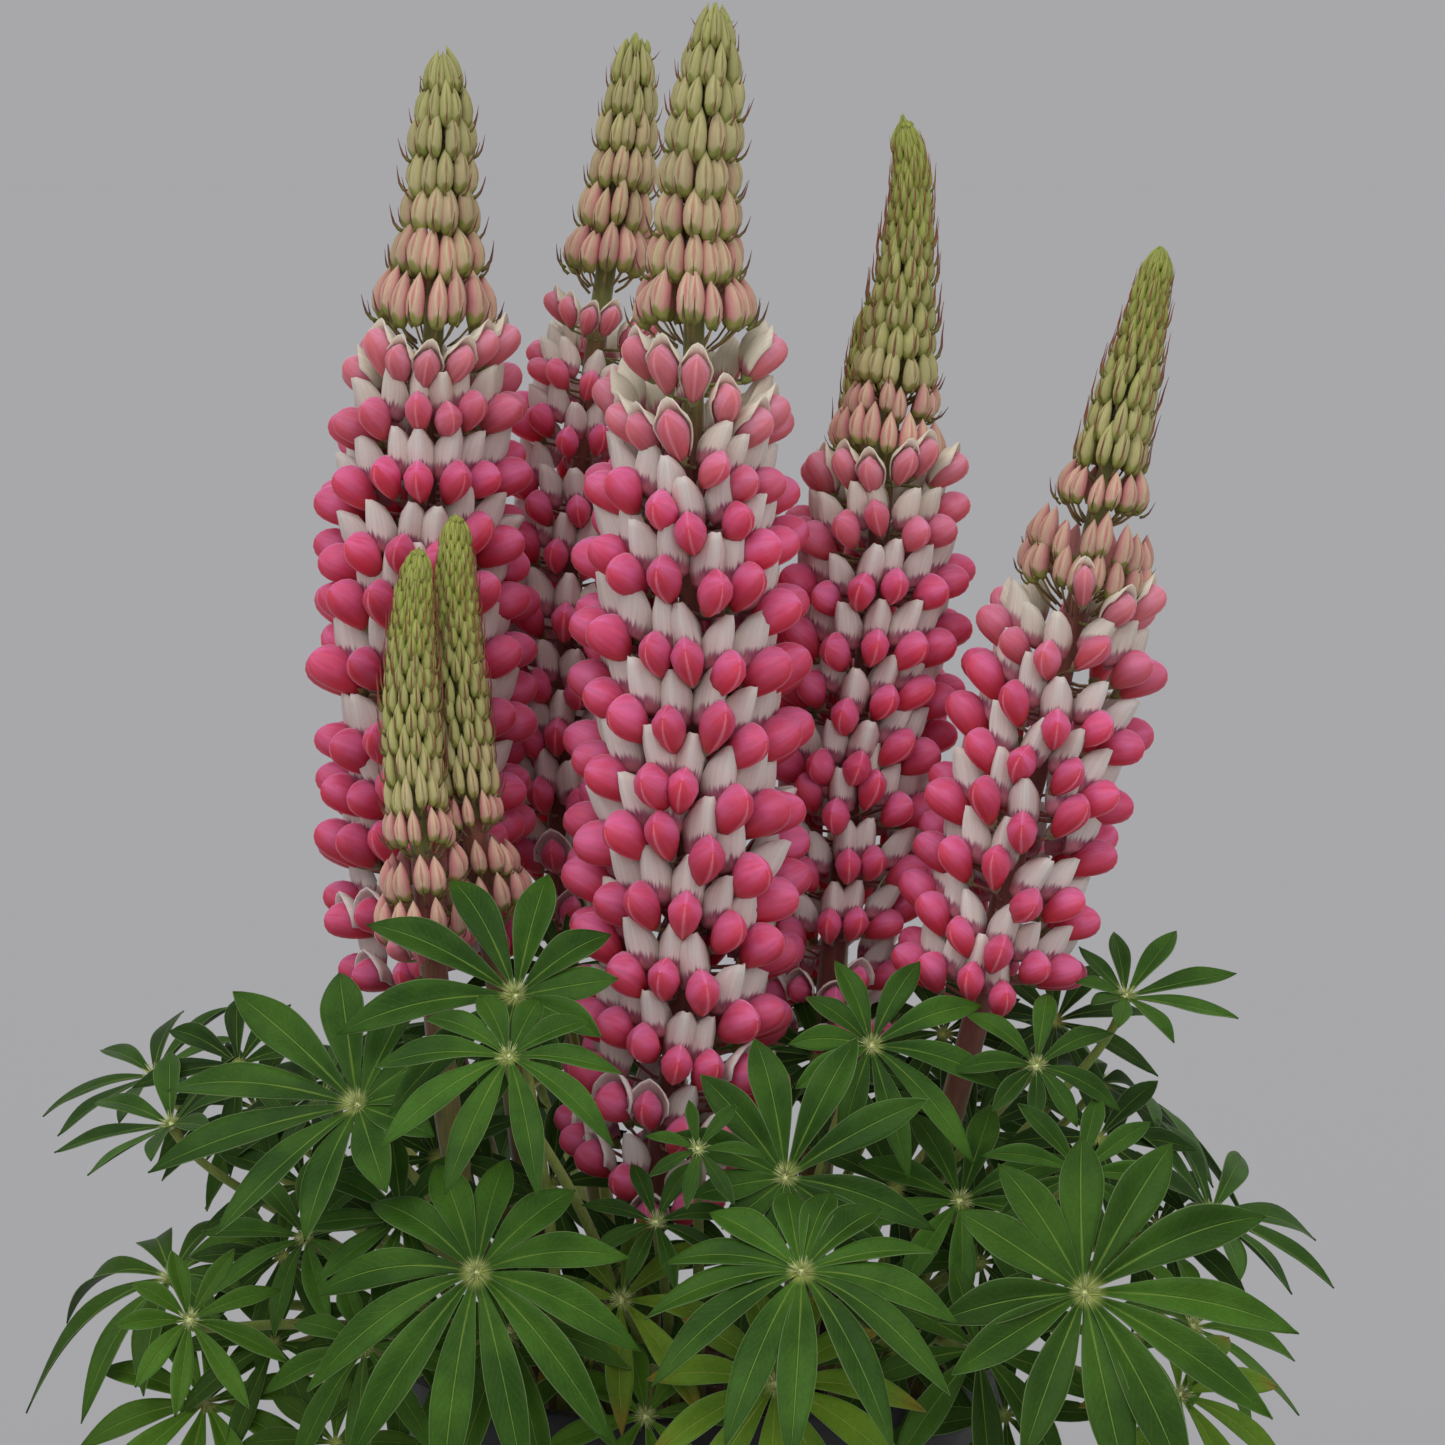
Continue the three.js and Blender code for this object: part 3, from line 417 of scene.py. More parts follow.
class Paint:
    """A node material under one Principled shader. Its colours are sRGB, each part out of 255."""

    def __init__(self, name, roughness=0.55, sheen=0.0, specular=0.4):
        self.material = bpy.data.materials.new(name)
        self.material.use_nodes = True
        self.tree = self.material.node_tree
        self.shader = self.tree.nodes["Principled BSDF"]
        self.shader.inputs["Roughness"].default_value = roughness
        self.shader.inputs["Sheen Weight"].default_value = sheen
        self.shader.inputs["Specular IOR Level"].default_value = specular

    def node(self, kind, **inputs):
        made = self.tree.nodes.new(kind)
        for name, value in inputs.items():
            self.feed(made.inputs[name], value)
        return made

    def feed(self, socket, value):
        """Join a socket to another one, or give it a number or a colour."""
        if isinstance(value, bpy.types.NodeSocket):
            self.tree.links.new(value, socket)
        else:
            socket.default_value = srgb(*value) if isinstance(value, tuple) else value

    def number(self, name):
        made = self.tree.nodes.new("ShaderNodeAttribute")
        made.attribute_name = name
        return made.outputs["Fac"]

    def numbers(self, *names):
        return [self.number(name) for name in names]

    def math(self, operation, first, second=0.0, third=0.0):
        made = self.tree.nodes.new("ShaderNodeMath")
        made.operation = operation
        for socket, value in zip(made.inputs, (first, second, third)):
            self.feed(socket, value)
        return made.outputs[0]

    def times(self, product, *others):
        for other in others:
            product = self.math("MULTIPLY", product, other)
        return product

    def step(self, value, low, high, out_low=0.0, out_high=1.0):
        made = self.tree.nodes.new("ShaderNodeMapRange")
        made.interpolation_type = "SMOOTHSTEP"
        for name, number in (("Value", value), ("From Min", low), ("From Max", high),
                             ("To Min", out_low), ("To Max", out_high)):
            self.feed(made.inputs[name], number)
        return made.outputs["Result"]

    def noise(self, scale, detail, stretch=(1, 1, 1)):
        """Noise in the object's own space, `scale` patches to the metre."""
        coordinates = self.tree.nodes.new("ShaderNodeTexCoord")
        mapping = self.node("ShaderNodeMapping", Vector=coordinates.outputs["Object"])
        mapping.inputs["Scale"].default_value = stretch
        return self.node("ShaderNodeTexNoise", Scale=scale, Detail=detail,
                         Vector=mapping.outputs["Vector"]).outputs["Fac"]

    def streaks(self, across_scale, along_scale, detail=2.0):
        """Noise that follows a form by its across and along numbers, and differs with its tone."""
        place = self.tree.nodes.new("ShaderNodeCombineXYZ")
        scales = (("across", across_scale), ("along", along_scale), ("tone", TONE_SPREAD))
        for socket, (name, scale) in zip(place.inputs, scales):
            self.feed(socket, self.times(self.number(name), scale))
        return self.node("ShaderNodeTexNoise", Scale=1.0, Detail=detail,
                         Vector=place.outputs[0]).outputs["Fac"]

    def mix(self, share, first, second):
        made = self.tree.nodes.new("ShaderNodeMix")
        made.data_type = "RGBA"
        colours = [socket for socket in made.inputs if socket.type == "RGBA"]
        self.feed(made.inputs["Factor"], share)
        self.feed(colours[0], first)
        self.feed(colours[1], second)
        return [socket for socket in made.outputs if socket.type == "RGBA"][0]

    def layered(self, colour, *layers):
        """A colour under layers, each the share of it that shows and its own colour."""
        for share, over in layers:
            colour = self.mix(share, colour, over)
        return colour

    def shaded(self, colour, value, low, high, darkest, lightest):
        """A colour that goes from its darkest to its lightest as a value goes from low to high."""
        made = self.node("ShaderNodeHueSaturation", Color=colour,
                         Value=self.step(value, low, high, darkest, lightest))
        return made.outputs["Color"]

    def glow(self, weight, radius, depth_mm):
        """Light that passes through thin petals."""
        self.shader.inputs["Subsurface Weight"].default_value = weight
        self.shader.inputs["Subsurface Radius"].default_value = radius
        self.shader.inputs["Subsurface Scale"].default_value = depth_mm * MM

    def finish(self, colour, height=0.0, depth_mm=0.0):
        """The finished material, with bumps that follow a height."""
        self.feed(self.shader.inputs["Base Color"], colour)
        if depth_mm:
            made = self.node("ShaderNodeBump", Height=height, Distance=depth_mm * MM)
            self.feed(self.shader.inputs["Normal"], made.outputs["Normal"])
        return self.material

    def grained(self, colour, grain, darkest, lightest, depth_mm=0.0):
        """The finished material, with a fine grain in its colour and in its surface."""
        return self.finish(self.shaded(colour, grain, 0.3, 0.7, darkest, lightest), grain, depth_mm)


def make_wing_paint():
    paint = Paint("wing_petal", roughness=0.5, specular=0.3)
    paint.glow(0.9, (1.0, 0.55, 0.6), 8)
    along, across, age, tone = paint.numbers("along", "across", "age", "tone")
    streaks, clouds = paint.streaks(14.0, 1.5), paint.streaks(3.0, 2.2)
    magenta = paint.mix(age, (230, 116, 164), (231, 154, 175))
    red = paint.mix(age, (211, 58, 71), (213, 120, 122))
    lilac = paint.times(paint.step(along, 0.25, 0.75), paint.step(clouds, 0.3, 0.65, 0.2, 0.95))
    body = paint.layered(
        paint.mix(age, (224, 84, 121), (223, 130, 146)),
        (lilac, magenta),
        (paint.step(along, 0.05, 0.6, 0.95, 0.0), red),
        (paint.times(paint.step(across, 0.5, 0.9), 0.75), red))
    body = paint.shaded(body, streaks, 0.25, 0.75, 0.91, 1.07)
    body = paint.shaded(body, tone, 0.0, 1.0, 0.86, 1.05)
    seam = paint.math("MINIMUM", across, paint.math("SUBTRACT", 1.0, across))
    body = paint.mix(paint.step(seam, 0.012, 0.05, 0.4, 0.0), body, (240, 166, 184))
    return paint.finish(body, streaks, 0.12)


def make_banner_paint():
    paint = Paint("banner_petal", roughness=0.6, specular=0.3)
    paint.glow(0.25, (1.0, 0.7, 0.7), 3)
    along, across, age, tone = paint.numbers("along", "across", "age", "tone")
    streaks = paint.streaks(12.0, 1.6)
    white = paint.mix(age, (236, 223, 215), (237, 224, 201))
    white = paint.shaded(white, streaks, 0.3, 0.7, 0.93, 1.04)
    white = paint.shaded(white, tone, 0.0, 1.0, 0.93, 1.03)
    ragged = paint.math("MULTIPLY_ADD", streaks, 0.22, along)
    edge = paint.times(
        paint.step(ragged, 0.42, 0.52),
        paint.step(ragged, 0.53, 0.62, 1.0, 0.0),
        paint.step(paint.math("ABSOLUTE", across), 0.25, 0.9, 0.9, 0.35),
        paint.step(age, 0.3, 0.9, 1.0, 0.0))
    colour = paint.layered(
        white,
        (paint.step(ragged, 0.46, 0.58, 1.0, 0.0), (212, 132, 146)),
        (edge, (150, 62, 106)))
    return paint.finish(colour, streaks, 0.1)


def make_bud_paint():
    paint = Paint("bud", roughness=0.6, specular=0.3)
    paint.glow(0.2, (1.0, 0.8, 0.4), 2)
    along, across, age, tone = paint.numbers("along", "across", "age", "tone")
    fine, blush = paint.streaks(14.0, 3.0), paint.streaks(2.0, 1.2, detail=1.0)
    flush = paint.times(paint.step(across, 0.12, 0.5), paint.step(age, 0.1, 0.5, 0.85, 0.0),
                        paint.step(blush, 0.2, 0.6, 0.5, 1.0))
    lens = paint.math("SUBTRACT", along, 0.58)
    lens = paint.math("SUBTRACT", 0.075, paint.times(lens, lens, 0.55))
    apart = paint.math("SUBTRACT", across, lens)
    margin = paint.times(paint.step(apart, -0.01, 0.03), paint.step(apart, 0.04, 0.12, 0.7, 0.0))
    slit = paint.mix(paint.step(age, 0.1, 0.6), (204, 112, 118), (138, 126, 66))
    body = paint.layered(
        (212, 174, 150),
        (paint.step(age, 0.0, 0.3), (198, 184, 140)),
        (paint.step(age, 0.3, 0.75), (182, 182, 112)),
        (paint.step(age, 0.7, 1.0), (164, 174, 78)),
        (flush, (212, 132, 138)),
        (margin, paint.mix(age, (216, 194, 160), (184, 188, 116))),
        (paint.step(apart, -0.04, 0.0, 0.7, 0.0), slit))
    body = paint.shaded(body, fine, 0.25, 0.75, 0.92, 1.07)
    teeth = paint.math("COSINE", paint.times(across, 4 * math.pi))
    above_teeth = paint.math("SUBTRACT", along, paint.math("MULTIPLY_ADD", teeth, 0.055, 0.2))
    green = paint.mix(tone, (146, 154, 70), (170, 174, 96))
    body = paint.layered(
        body,
        (paint.step(above_teeth, -0.05, 0.04, 0.95, 0.0), green),
        (paint.step(along, 0.0, 0.08, 0.5, 0.0), (116, 104, 54)))
    return paint.finish(paint.shaded(body, tone, 0.0, 1.0, 0.82, 1.1), fine, 0.12)


def make_stem_paint():
    paint = Paint("stem", roughness=0.6, sheen=0.3)
    along = paint.number("along")
    blotch = paint.noise(60.0, 4.0, stretch=(1, 1, 0.3))
    low = paint.mix(paint.step(blotch, 0.4, 0.62), (128, 122, 62), (104, 62, 44))
    flowering = paint.mix(paint.step(blotch, 0.35, 0.65), (142, 80, 66), (118, 60, 54))
    colour = paint.layered(low, (paint.step(along, 0.3, 0.42), flowering),
                           (paint.step(along, 0.64, 0.69), (122, 124, 62)))
    return paint.grained(colour, paint.noise(900.0, 2.0, stretch=(1, 1, 0.15)), 0.82, 1.15, 0.2)


def make_pedicel_paint():
    paint = Paint("flower_stalk", roughness=0.6, sheen=0.2)
    along, age = paint.numbers("along", "age")
    colour = paint.layered((158, 88, 78), (age, (140, 142, 70)),
                           (paint.step(along, 0.8, 1.0), (150, 140, 84)))
    return paint.grained(colour, paint.noise(700.0, 2.0), 0.85, 1.15, 0.08)


def make_calyx_paint():
    paint = Paint("calyx", roughness=0.65, sheen=0.3)
    along, age = paint.numbers("along", "age")
    colour = paint.layered((126, 120, 62), (paint.step(along, 0.2, 0.9), (176, 112, 100)),
                           (age, (138, 152, 74)))
    return paint.grained(colour, paint.noise(900.0, 2.0), 0.85, 1.15, 0.1)


def make_awn_paint():
    paint = Paint("bract", roughness=0.6)
    along, age = paint.numbers("along", "age")
    tip = paint.mix(age, (108, 74, 64), (156, 88, 64))
    colour = paint.mix(paint.step(along, 0.1, 0.6), (140, 142, 72), tip)
    return paint.grained(colour, paint.noise(800.0, 2.0), 0.85, 1.15)


def make_leaf_paint(name, lit, dark, tip, tip_share, rib):
    paint = Paint(name, roughness=0.5, specular=0.14)
    along, across, age, tone = paint.numbers("along", "across", "age", "tone")
    side = paint.math("ABSOLUTE", across)
    blotch, fine = paint.noise(45.0, 4.0), paint.noise(900.0, 2.0)
    slant = paint.math("MULTIPLY_ADD", side, -3.2, paint.times(along, 17.0))
    veins = paint.math("ABSOLUTE", paint.math("SUBTRACT", paint.math("FRACT", slant), 0.5))
    veins = paint.step(veins, 0.40, 0.5, 0.0, 0.12)
    body = paint.layered(
        dark,
        (paint.step(blotch, 0.3, 0.7), lit),
        (paint.times(age, 0.6), (98, 142, 34)),
        (veins, rib),
        (paint.step(along, 0.72, 1.0, 0.0, tip_share), tip))
    # The tone differs at random from leaf to leaf and from leaflet to leaflet. It is lower, as painted
    # shade, on the shaded leaves and the crown leaves.
    body = paint.shaded(body, tone, 0.0, 1.0, 0.46, 1.32)
    body = paint.shaded(body, fine, 0.3, 0.7, 0.93, 1.07)
    from_midrib = paint.math("DIVIDE", side, paint.step(along, 0.03, 0.5, 0.2, 0.028))
    body = paint.layered(
        body,
        (paint.step(from_midrib, 0.4, 1.3, 0.7, 0.0), rib),
        (paint.step(side, 0.95, 0.99, 0.0, 0.55), (132, 156, 100)),
        (paint.step(along, 0.01, 0.12, 0.95, 0.0), (190, 200, 112)))
    groove = paint.step(side, 0.0, 0.12)
    height = paint.math("MULTIPLY_ADD", groove, 0.6, paint.times(veins, -1.2))
    return paint.finish(body, paint.math("MULTIPLY_ADD", fine, 0.12, height), 0.35)


def make_petiole_paint():
    paint = Paint("leaf_stalk", roughness=0.5, sheen=0.25)
    blotch = paint.noise(70.0, 3.0)
    colour = paint.layered((124, 144, 58), (paint.step(blotch, 0.35, 0.65), (148, 158, 74)),
                           (paint.step(paint.number("along"), 0.0, 0.25, 0.5, 0.0), (128, 84, 60)))
    return paint.grained(colour, paint.noise(900.0, 2.0, stretch=(1, 1, 0.2)), 0.88, 1.12, 0.1)


def make_hair_paint():
    paint = Paint("leaf_hair", roughness=0.5)
    return paint.finish(paint.mix(paint.noise(600.0, 2.0), (206, 214, 130), (232, 236, 184)))


def make_pot_paint():
    paint = Paint("pot_plastic", roughness=0.48, specular=0.5)
    scuffs = paint.noise(38.0, 6.0, stretch=(1, 1, 2.4))
    dust = paint.noise(9.0, 5.0)
    colour = paint.layered(
        (22, 22, 24),
        (paint.step(scuffs, 0.52, 0.75, 0.0, 0.5), (44, 43, 42)),
        (paint.step(dust, 0.55, 0.8, 0.0, 0.45), (70, 62, 54)))
    paint.feed(paint.shader.inputs["Roughness"], paint.step(scuffs, 0.3, 0.75, 0.4, 0.7))
    return paint.finish(colour, paint.noise(1400.0, 2.0), 0.15)


def make_soil_paint():
    paint = Paint("compost", roughness=0.95, specular=0.2)
    coarse, fine = paint.noise(90.0, 6.0), paint.noise(700.0, 4.0)
    flecks = paint.noise(330.0, 1.0)
    colour = paint.layered((40, 28, 20), (paint.step(coarse, 0.35, 0.68), (82, 60, 42)),
                           (paint.step(flecks, 0.66, 0.72, 0.0, 0.8), (132, 104, 74)))
    colour = paint.shaded(colour, fine, 0.3, 0.7, 0.7, 1.25)
    return paint.finish(colour, paint.math("ADD", coarse, fine), 1.6)


WING = make_wing_paint()
BANNER = make_banner_paint()
BUD = make_bud_paint()
STEM = make_stem_paint()
PEDICEL = make_pedicel_paint()
CALYX = make_calyx_paint()
AWN = make_awn_paint()
LEAF = make_leaf_paint("leaf", lit=(66, 106, 30), dark=(42, 76, 18), tip=(64, 104, 26), tip_share=0.3,
                       rib=(126, 156, 66))
YELLOW_LEAF = make_leaf_paint("leaf_turning", lit=(104, 132, 34), dark=(76, 104, 24),
                              tip=(150, 104, 42), tip_share=0.6, rib=(156, 168, 76))
PETIOLE = make_petiole_paint()
HAIR = make_hair_paint()

# Flowers
# Forms are in the spike's own directions at a whorl: outward from the stalk, sideways, and up it,
# for a whorl whose radius is FLOWER_AT.

KEEL_BASE = np.array([17.2, 0, -6.2])
KEEL_LENGTH = 15.8
KEEL_HALF_HEIGHT = 4.95
KEEL_HALF_WIDTH = 4.4
KEEL_WIDEST = 0.6
KEEL_ARCH = 1.2
WING_SIDES = 12
PETAL_THICKNESS = 0.45
HOOD_GAP = 0.75


def keel_profile(share):
    """Half height and half width of the joined wings at a share of their length."""
    swell = 0.36 + 0.64 * np.sin(np.clip(share / KEEL_WIDEST, 0, 1) * math.pi / 2) ** 0.95
    end = np.clip((share - KEEL_WIDEST) / (1 - KEEL_WIDEST), 0, 1)
    return (KEEL_HALF_HEIGHT * swell * (1 - end ** 2.2) ** 0.5,
            KEEL_HALF_WIDTH * swell * (1 - end ** 1.7) ** 0.75)


def keel_axis(tilt):
    ahead = np.array([math.cos(tilt), 0, math.sin(tilt)])
    above = np.array([-math.sin(tilt), 0, math.cos(tilt)])
    return ahead, above


def keel_point(tilt, share):
    ahead, above = keel_axis(tilt)
    arch = KEEL_ARCH * math.sin(math.pi * min(share, 1))
    return KEEL_BASE + ahead * (KEEL_LENGTH * share) + above * arch


def make_wings(tilt):
    """Two wing petals closed round the keel, meeting in a ridge."""
    shares = np.array([0.0, 0.16, 0.34, 0.52, 0.68, 0.82, 0.93, 0.985])
    ahead, above = keel_axis(tilt)
    angles = ring_angles(WING_SIDES)
    rings, across = [], []
    for share in shares:
        height, width = keel_profile(share)
        roof = 1 - 0.34 * np.clip(np.cos(angles), 0, 1) ** 1.4
        ridge = 0.4 * (np.abs(np.sin(angles)) < 0.01) * (height / KEEL_HALF_HEIGHT)
        up = np.cos(angles) * (height + ridge) * np.where(np.cos(angles) < 0, 1.1, 0.96)
        beside = np.sin(angles) * width * roof
        centre = keel_point(tilt, share)
        rings.append(centre + up[:, None] * above + beside[:, None] * np.array([0, 1, 0]))
        across.append(np.abs(np.angle(np.exp(1j * angles))) / math.pi)
    start = keel_point(tilt, 0) - ahead * 0.6
    end = keel_point(tilt, 1.0) + ahead * 0.1
    return loft(rings, start, end, shares, across=across)


def petal_grid(rows, columns, crowding=1):
    """How far along and across a petal or leaflet the points of its grid are."""
    along = np.linspace(0, 1, rows + 1)[:, None] ** crowding * np.ones(columns + 1)
    across = np.linspace(-1, 1, columns + 1)[None, :] * np.ones((rows + 1, 1))
    return along, across


def make_banner():
    """The upright banner behind the wings: creased down its middle, its two sides folded back."""
    along, across = petal_grid(rows=7, columns=6)
    side = np.abs(across)
    crease_out = between(along, [0, 0.3, 0.6, 1], [15.5, 21, 23.2, 23.6])
    crease_up = between(along, [0, 0.3, 0.6, 1], [-1.5, 1.0, 7.6, 14.6])
    half_width = between(along, [0, 0.25, 0.5, 0.72, 0.88, 1], [1.5, 3.6, 4.5, 4.3, 3.6, 2.2])
    swept = between(along, [0, 0.3, 0.6, 1], [1.0, 5.5, 8.5, 5.0])
    drop = between(along, [0, 0.4, 0.7, 1], [0.2, 1.2, 2.6, 2.6])
    notch = 0.7 * np.exp(-(across / 0.16) ** 2) * along ** 10
    outward = crease_out - swept * side ** 1.25
    sideways = half_width * np.sign(across) * side ** 0.8
    upward = crease_up - drop * side ** 1.3 - notch
    grid = np.stack([outward, sideways, upward], 2)
    return sheet(grid, PETAL_THICKNESS, along, across)


def make_hood(tilt, spread, reach, flare, peak):
    """A banner that still hoods the wings, or hoods them again as the flower ages."""
    along, across = petal_grid(rows=6, columns=8)
    ahead, above = keel_axis(tilt)
    shares = along * (reach - 0.34 * np.abs(across) ** 1.6)
    height, width = keel_profile(np.clip(shares, 0, 0.86))
    opening = flare * smooth(0.6, 1.0, along)
    opening = opening + peak * np.clip(1 - np.abs(across) / 0.5, 0, 1) * along ** 4
    turn = across * spread
    up = np.cos(turn) * (height + HOOD_GAP + opening)
    beside = np.sin(turn) * (width + HOOD_GAP + opening)
    arch = KEEL_ARCH * np.sin(math.pi * np.clip(shares, 0, 1))
    grid = (KEEL_BASE + (KEEL_LENGTH * shares)[..., None] * ahead + (up + arch)[..., None] * above
            + beside[..., None] * np.array([0, 1, 0]))
    return sheet(grid, PETAL_THICKNESS, 0.3 + 0.7 * along, across)


def make_calyx(tilt):
    ahead, _ = keel_axis(tilt)
    base = KEEL_BASE - ahead * 2.6
    shares = np.linspace(0, 1, 4)
    places = [base + ahead * (5.6 * share) for share in shares]
    return sweep(places, between(shares, [0, 0.3, 0.7, 1], [0.7, 1.7, 2.1, 1.7]), 6, paint=1)


def make_pedicel(tilt):
    ahead, _ = keel_axis(tilt)
    end = KEEL_BASE - ahead * 2.4
    places = [(2.6, 0, -8.6), (6.0, 0, -9.0), (10.2, 0, -8.4), end]
    return sweep(places, PEDICEL_RADIUS, 4, paint=2)


OPEN_TILT = math.radians(35)
YOUNG_TILT = math.radians(50)
OLD_TILT = math.radians(24)


def floret_forms(tilt, banner):
    return {"wings": make_wings(tilt), "banners": banner, "calyx": make_calyx(tilt),
            "pedicel": make_pedicel(tilt)}


FLORET_FORMS = {
    "open": floret_forms(OPEN_TILT, make_banner()),
    "opening": floret_forms(YOUNG_TILT, make_hood(YOUNG_TILT, 1.5, 1.08, 0.35, 0.6)),
    "old": floret_forms(OLD_TILT, make_hood(OLD_TILT, 1.8, 0.9, 1.5, 1.5)),
}


# A bud form's own height and breadth
BUD_HEIGHT = 12
BUD_BREADTH = 5

# How far a bud's outer face stands out from its foot, for a bud form of its own size
BUD_REACH = 3.6


def make_bud_form(sides, shares):
    """An upright almond with a pointed tip, its foot at the origin."""
    shares = np.array(shares)
    angles = ring_angles(sides)
    turned = np.abs(np.angle(np.exp(1j * angles))) / math.pi
    rings, across = [], []
    for share in shares:
        swell = between(share, [0, 0.1, 0.25, 0.42, 0.6, 0.8, 0.92, 1],
                        [0.42, 0.74, 0.94, 1.0, 0.92, 0.62, 0.31, 0.03])
        if share < 0.25:
            swell = swell * 1.05
        bow = 1.3 * math.sin(math.pi * share ** 0.9)
        front = np.cos(angles) * 2.6 * swell
        front -= 0.2 * (turned < 0.01) * swell * smooth(0.25, 0.45, share)
        beside = np.sin(angles) * 2.5 * swell
        rings.append(np.stack([bow + front, beside, np.full(sides, BUD_HEIGHT * share)], 1))
        across.append(turned)
    return loft(rings, (0, 0, -0.2), (0, 0, BUD_HEIGHT + 0.4), shares, across=across)


def make_awn_form(outward, upward, radius):
    """A bract's thin curved awn, in the bud's own measures, from the foot of the bud."""
    places = [(out, 0, up) for out, up in zip(outward, upward)]
    return sweep(places, np.array([1.0, 0.95, 0.7, 0.4, 0.12]) * radius, 3)


BUD_FORM = make_bud_form(12, [0.0, 0.07, 0.17, 0.24, 0.28, 0.42, 0.57, 0.72, 0.84, 0.93])
SMALL_BUD_FORM = make_bud_form(8, [0.0, 0.1, 0.24, 0.42, 0.6, 0.78, 0.92])
SPREADING_AWN = make_awn_form([1.8, 3.2, 4.4, 5.2, 6.0], [-0.3, 0.2, 1.3, 2.9, 5.0], 0.52)
CLOSE_AWN = make_awn_form([1.9, 3.6, 4.4, 4.6, 5.1], [-0.2, 1.2, 3.4, 6.4, 9.6], 0.6)


class SpikeLine:
    """A spike's line up its stalk, read by height: a centripetal Catmull-Rom curve."""

    def __init__(self, spike):
        foot = (*spike["root"], SOIL_TOP + STEM_UPRIGHT)
        points = np.array([foot, *spike["line"]], float)
        before = 2 * points[0] - points[1]
        after = 2 * points[-1] - points[-2]
        self.points = np.concatenate([[before], points, [after]])
        samples = 40
        places = []
        for stretch in range(len(points) - 1):
            for sample in range(samples):
                places.append(self.read(stretch, sample / samples))
        places.append(points[-1])
        self.places = np.array(places)
        self.tangents = np.gradient(self.places, axis=0)

    def read(self, stretch, share):
        a, b, c, d = self.points[stretch:stretch + 4]
        first, middle, last = (math.sqrt(np.linalg.norm(q - p)) for p, q in ((a, b), (b, c), (c, d)))
        leave = ((b - a) / first - (c - a) / (first + middle) + (c - b) / middle) * middle
        arrive = ((c - b) / middle - (d - b) / (middle + last) + (d - c) / last) * middle
        return (b + leave * share + (-3 * b + 3 * c - 2 * leave - arrive) * share ** 2
                + (2 * b - 2 * c + leave + arrive) * share ** 3)

    def at(self, height):
        heights = self.places[:, 2]
        place = np.array([np.interp(height, heights, self.places[:, axis]) for axis in range(3)])
        along = unit(np.array([np.interp(height, heights, self.tangents[:, axis])
                               for axis in range(3)]))
        place = place + along * max(0.0, height - heights[-1])
        across = np.array([1.0, 0, 0])
        across = unit(across - along * across.dot(along))
        return place, along, across, np.cross(along, across)


def spot(frame_at, turn, lift=0.0, roll=0.0):
    """Where a floret or bud stands: rows are its outward, sideways and upward directions."""
    place, along, across, over = frame_at
    outward = across * math.cos(turn) + over * math.sin(turn)
    sideways = np.cross(along, outward)
    tilted_out = outward * math.cos(lift) + along * math.sin(lift)
    tilted_up = along * math.cos(lift) - outward * math.sin(lift)
    rolled_side = sideways * math.cos(roll) + tilted_up * math.sin(roll)
    rolled_up = tilted_up * math.cos(roll) - sideways * math.sin(roll)
    return np.stack([tilted_out, rolled_side, rolled_up]), place


def floret_state(flowers, height, rng):
    height += rng.normal(0, 2.5)
    if height > flowers["opening"]:
        return "opening"
    lowest = flowers["low"] + AGED_SHARE * (flowers["high"] - flowers["low"])
    if height < lowest and rng.random() < flowers.get("aged", 0.7):
        return "old"
    return "open"


def add_florets(spike, line, pieces):
    """Whorls of florets; each whorl winds down to meet the one `strands` below it."""
    flowers = spike["flowers"]
    rng = random_for(spike["name"] + "_florets")
    foot, middle, top = flowers["radii"]
    pull = 2 * middle - (foot + top) / 2
    low, high = flowers["low"], flowers["high"]
    strands, around = flowers["strands"], flowers["around"]
    spacing = (high - low) / (flowers["whorls"] - 1)
    for whorl in range(-2, flowers["whorls"] + 2):
        wave = rng.uniform(0, 2 * math.pi)
        for number in range(around):
            round_share = (number + 0.5 * (whorl % 2)) / around
            turn = math.pi / 2 + round_share * 2 * math.pi + rng.normal(0, 0.05)
            height = low + whorl * spacing - strands * spacing * (round_share - 0.5)
            height += 1.6 * math.sin(turn + wave) + rng.normal(0, 1.1)
            state = floret_state(flowers, height, rng)
            size_jitter, lift, roll = rng.uniform(0.93, 1.03), rng.normal(0, 0.1), rng.normal(0, 0.14)
            tone = rng.random()
            if not low - 3 < height < flowers["last"]:
                continue
            share = min(max((height - low) / (high - low), 0), 1)
            radius = (1 - share) ** 2 * foot + 2 * share * (1 - share) * pull + share ** 2 * top
            size = FLORET_SIZE * radius / FLOWER_AT * size_jitter
            basis, place = spot(line.at(height), turn, lift, roll)
            basis = basis * size
            age = smooth(flowers["opening"] - 22, flowers["opening"] + 12, height)
            for part, form in FLORET_FORMS[state].items():
                pieces.get(part, pieces["stems"]).add(form, basis, place, tone, age)


def bud_radius(spike, height):
    """The radius of a spike's buds at a height, with a dome at the tip."""
    buds = spike["buds"]
    radii, tip = buds["radii"], buds["tip"]
    foot = spike["flowers"]["high"] + WHORL_MARGIN if "flowers" in spike else buds["low"] - 2
    step = (tip - foot) / (len(radii) + 0.5)
    heights = foot + (np.arange(len(radii)) + 0.7) * step
    dome = 1 - smooth_dome((height - heights[-1]) / (tip - heights[-1]))
    return float(np.interp(height, heights, radii)) * dome


def smooth_dome(share):
    share = min(max(share, 0), 0.995)
    return 1 - math.sqrt(1 - share * share)


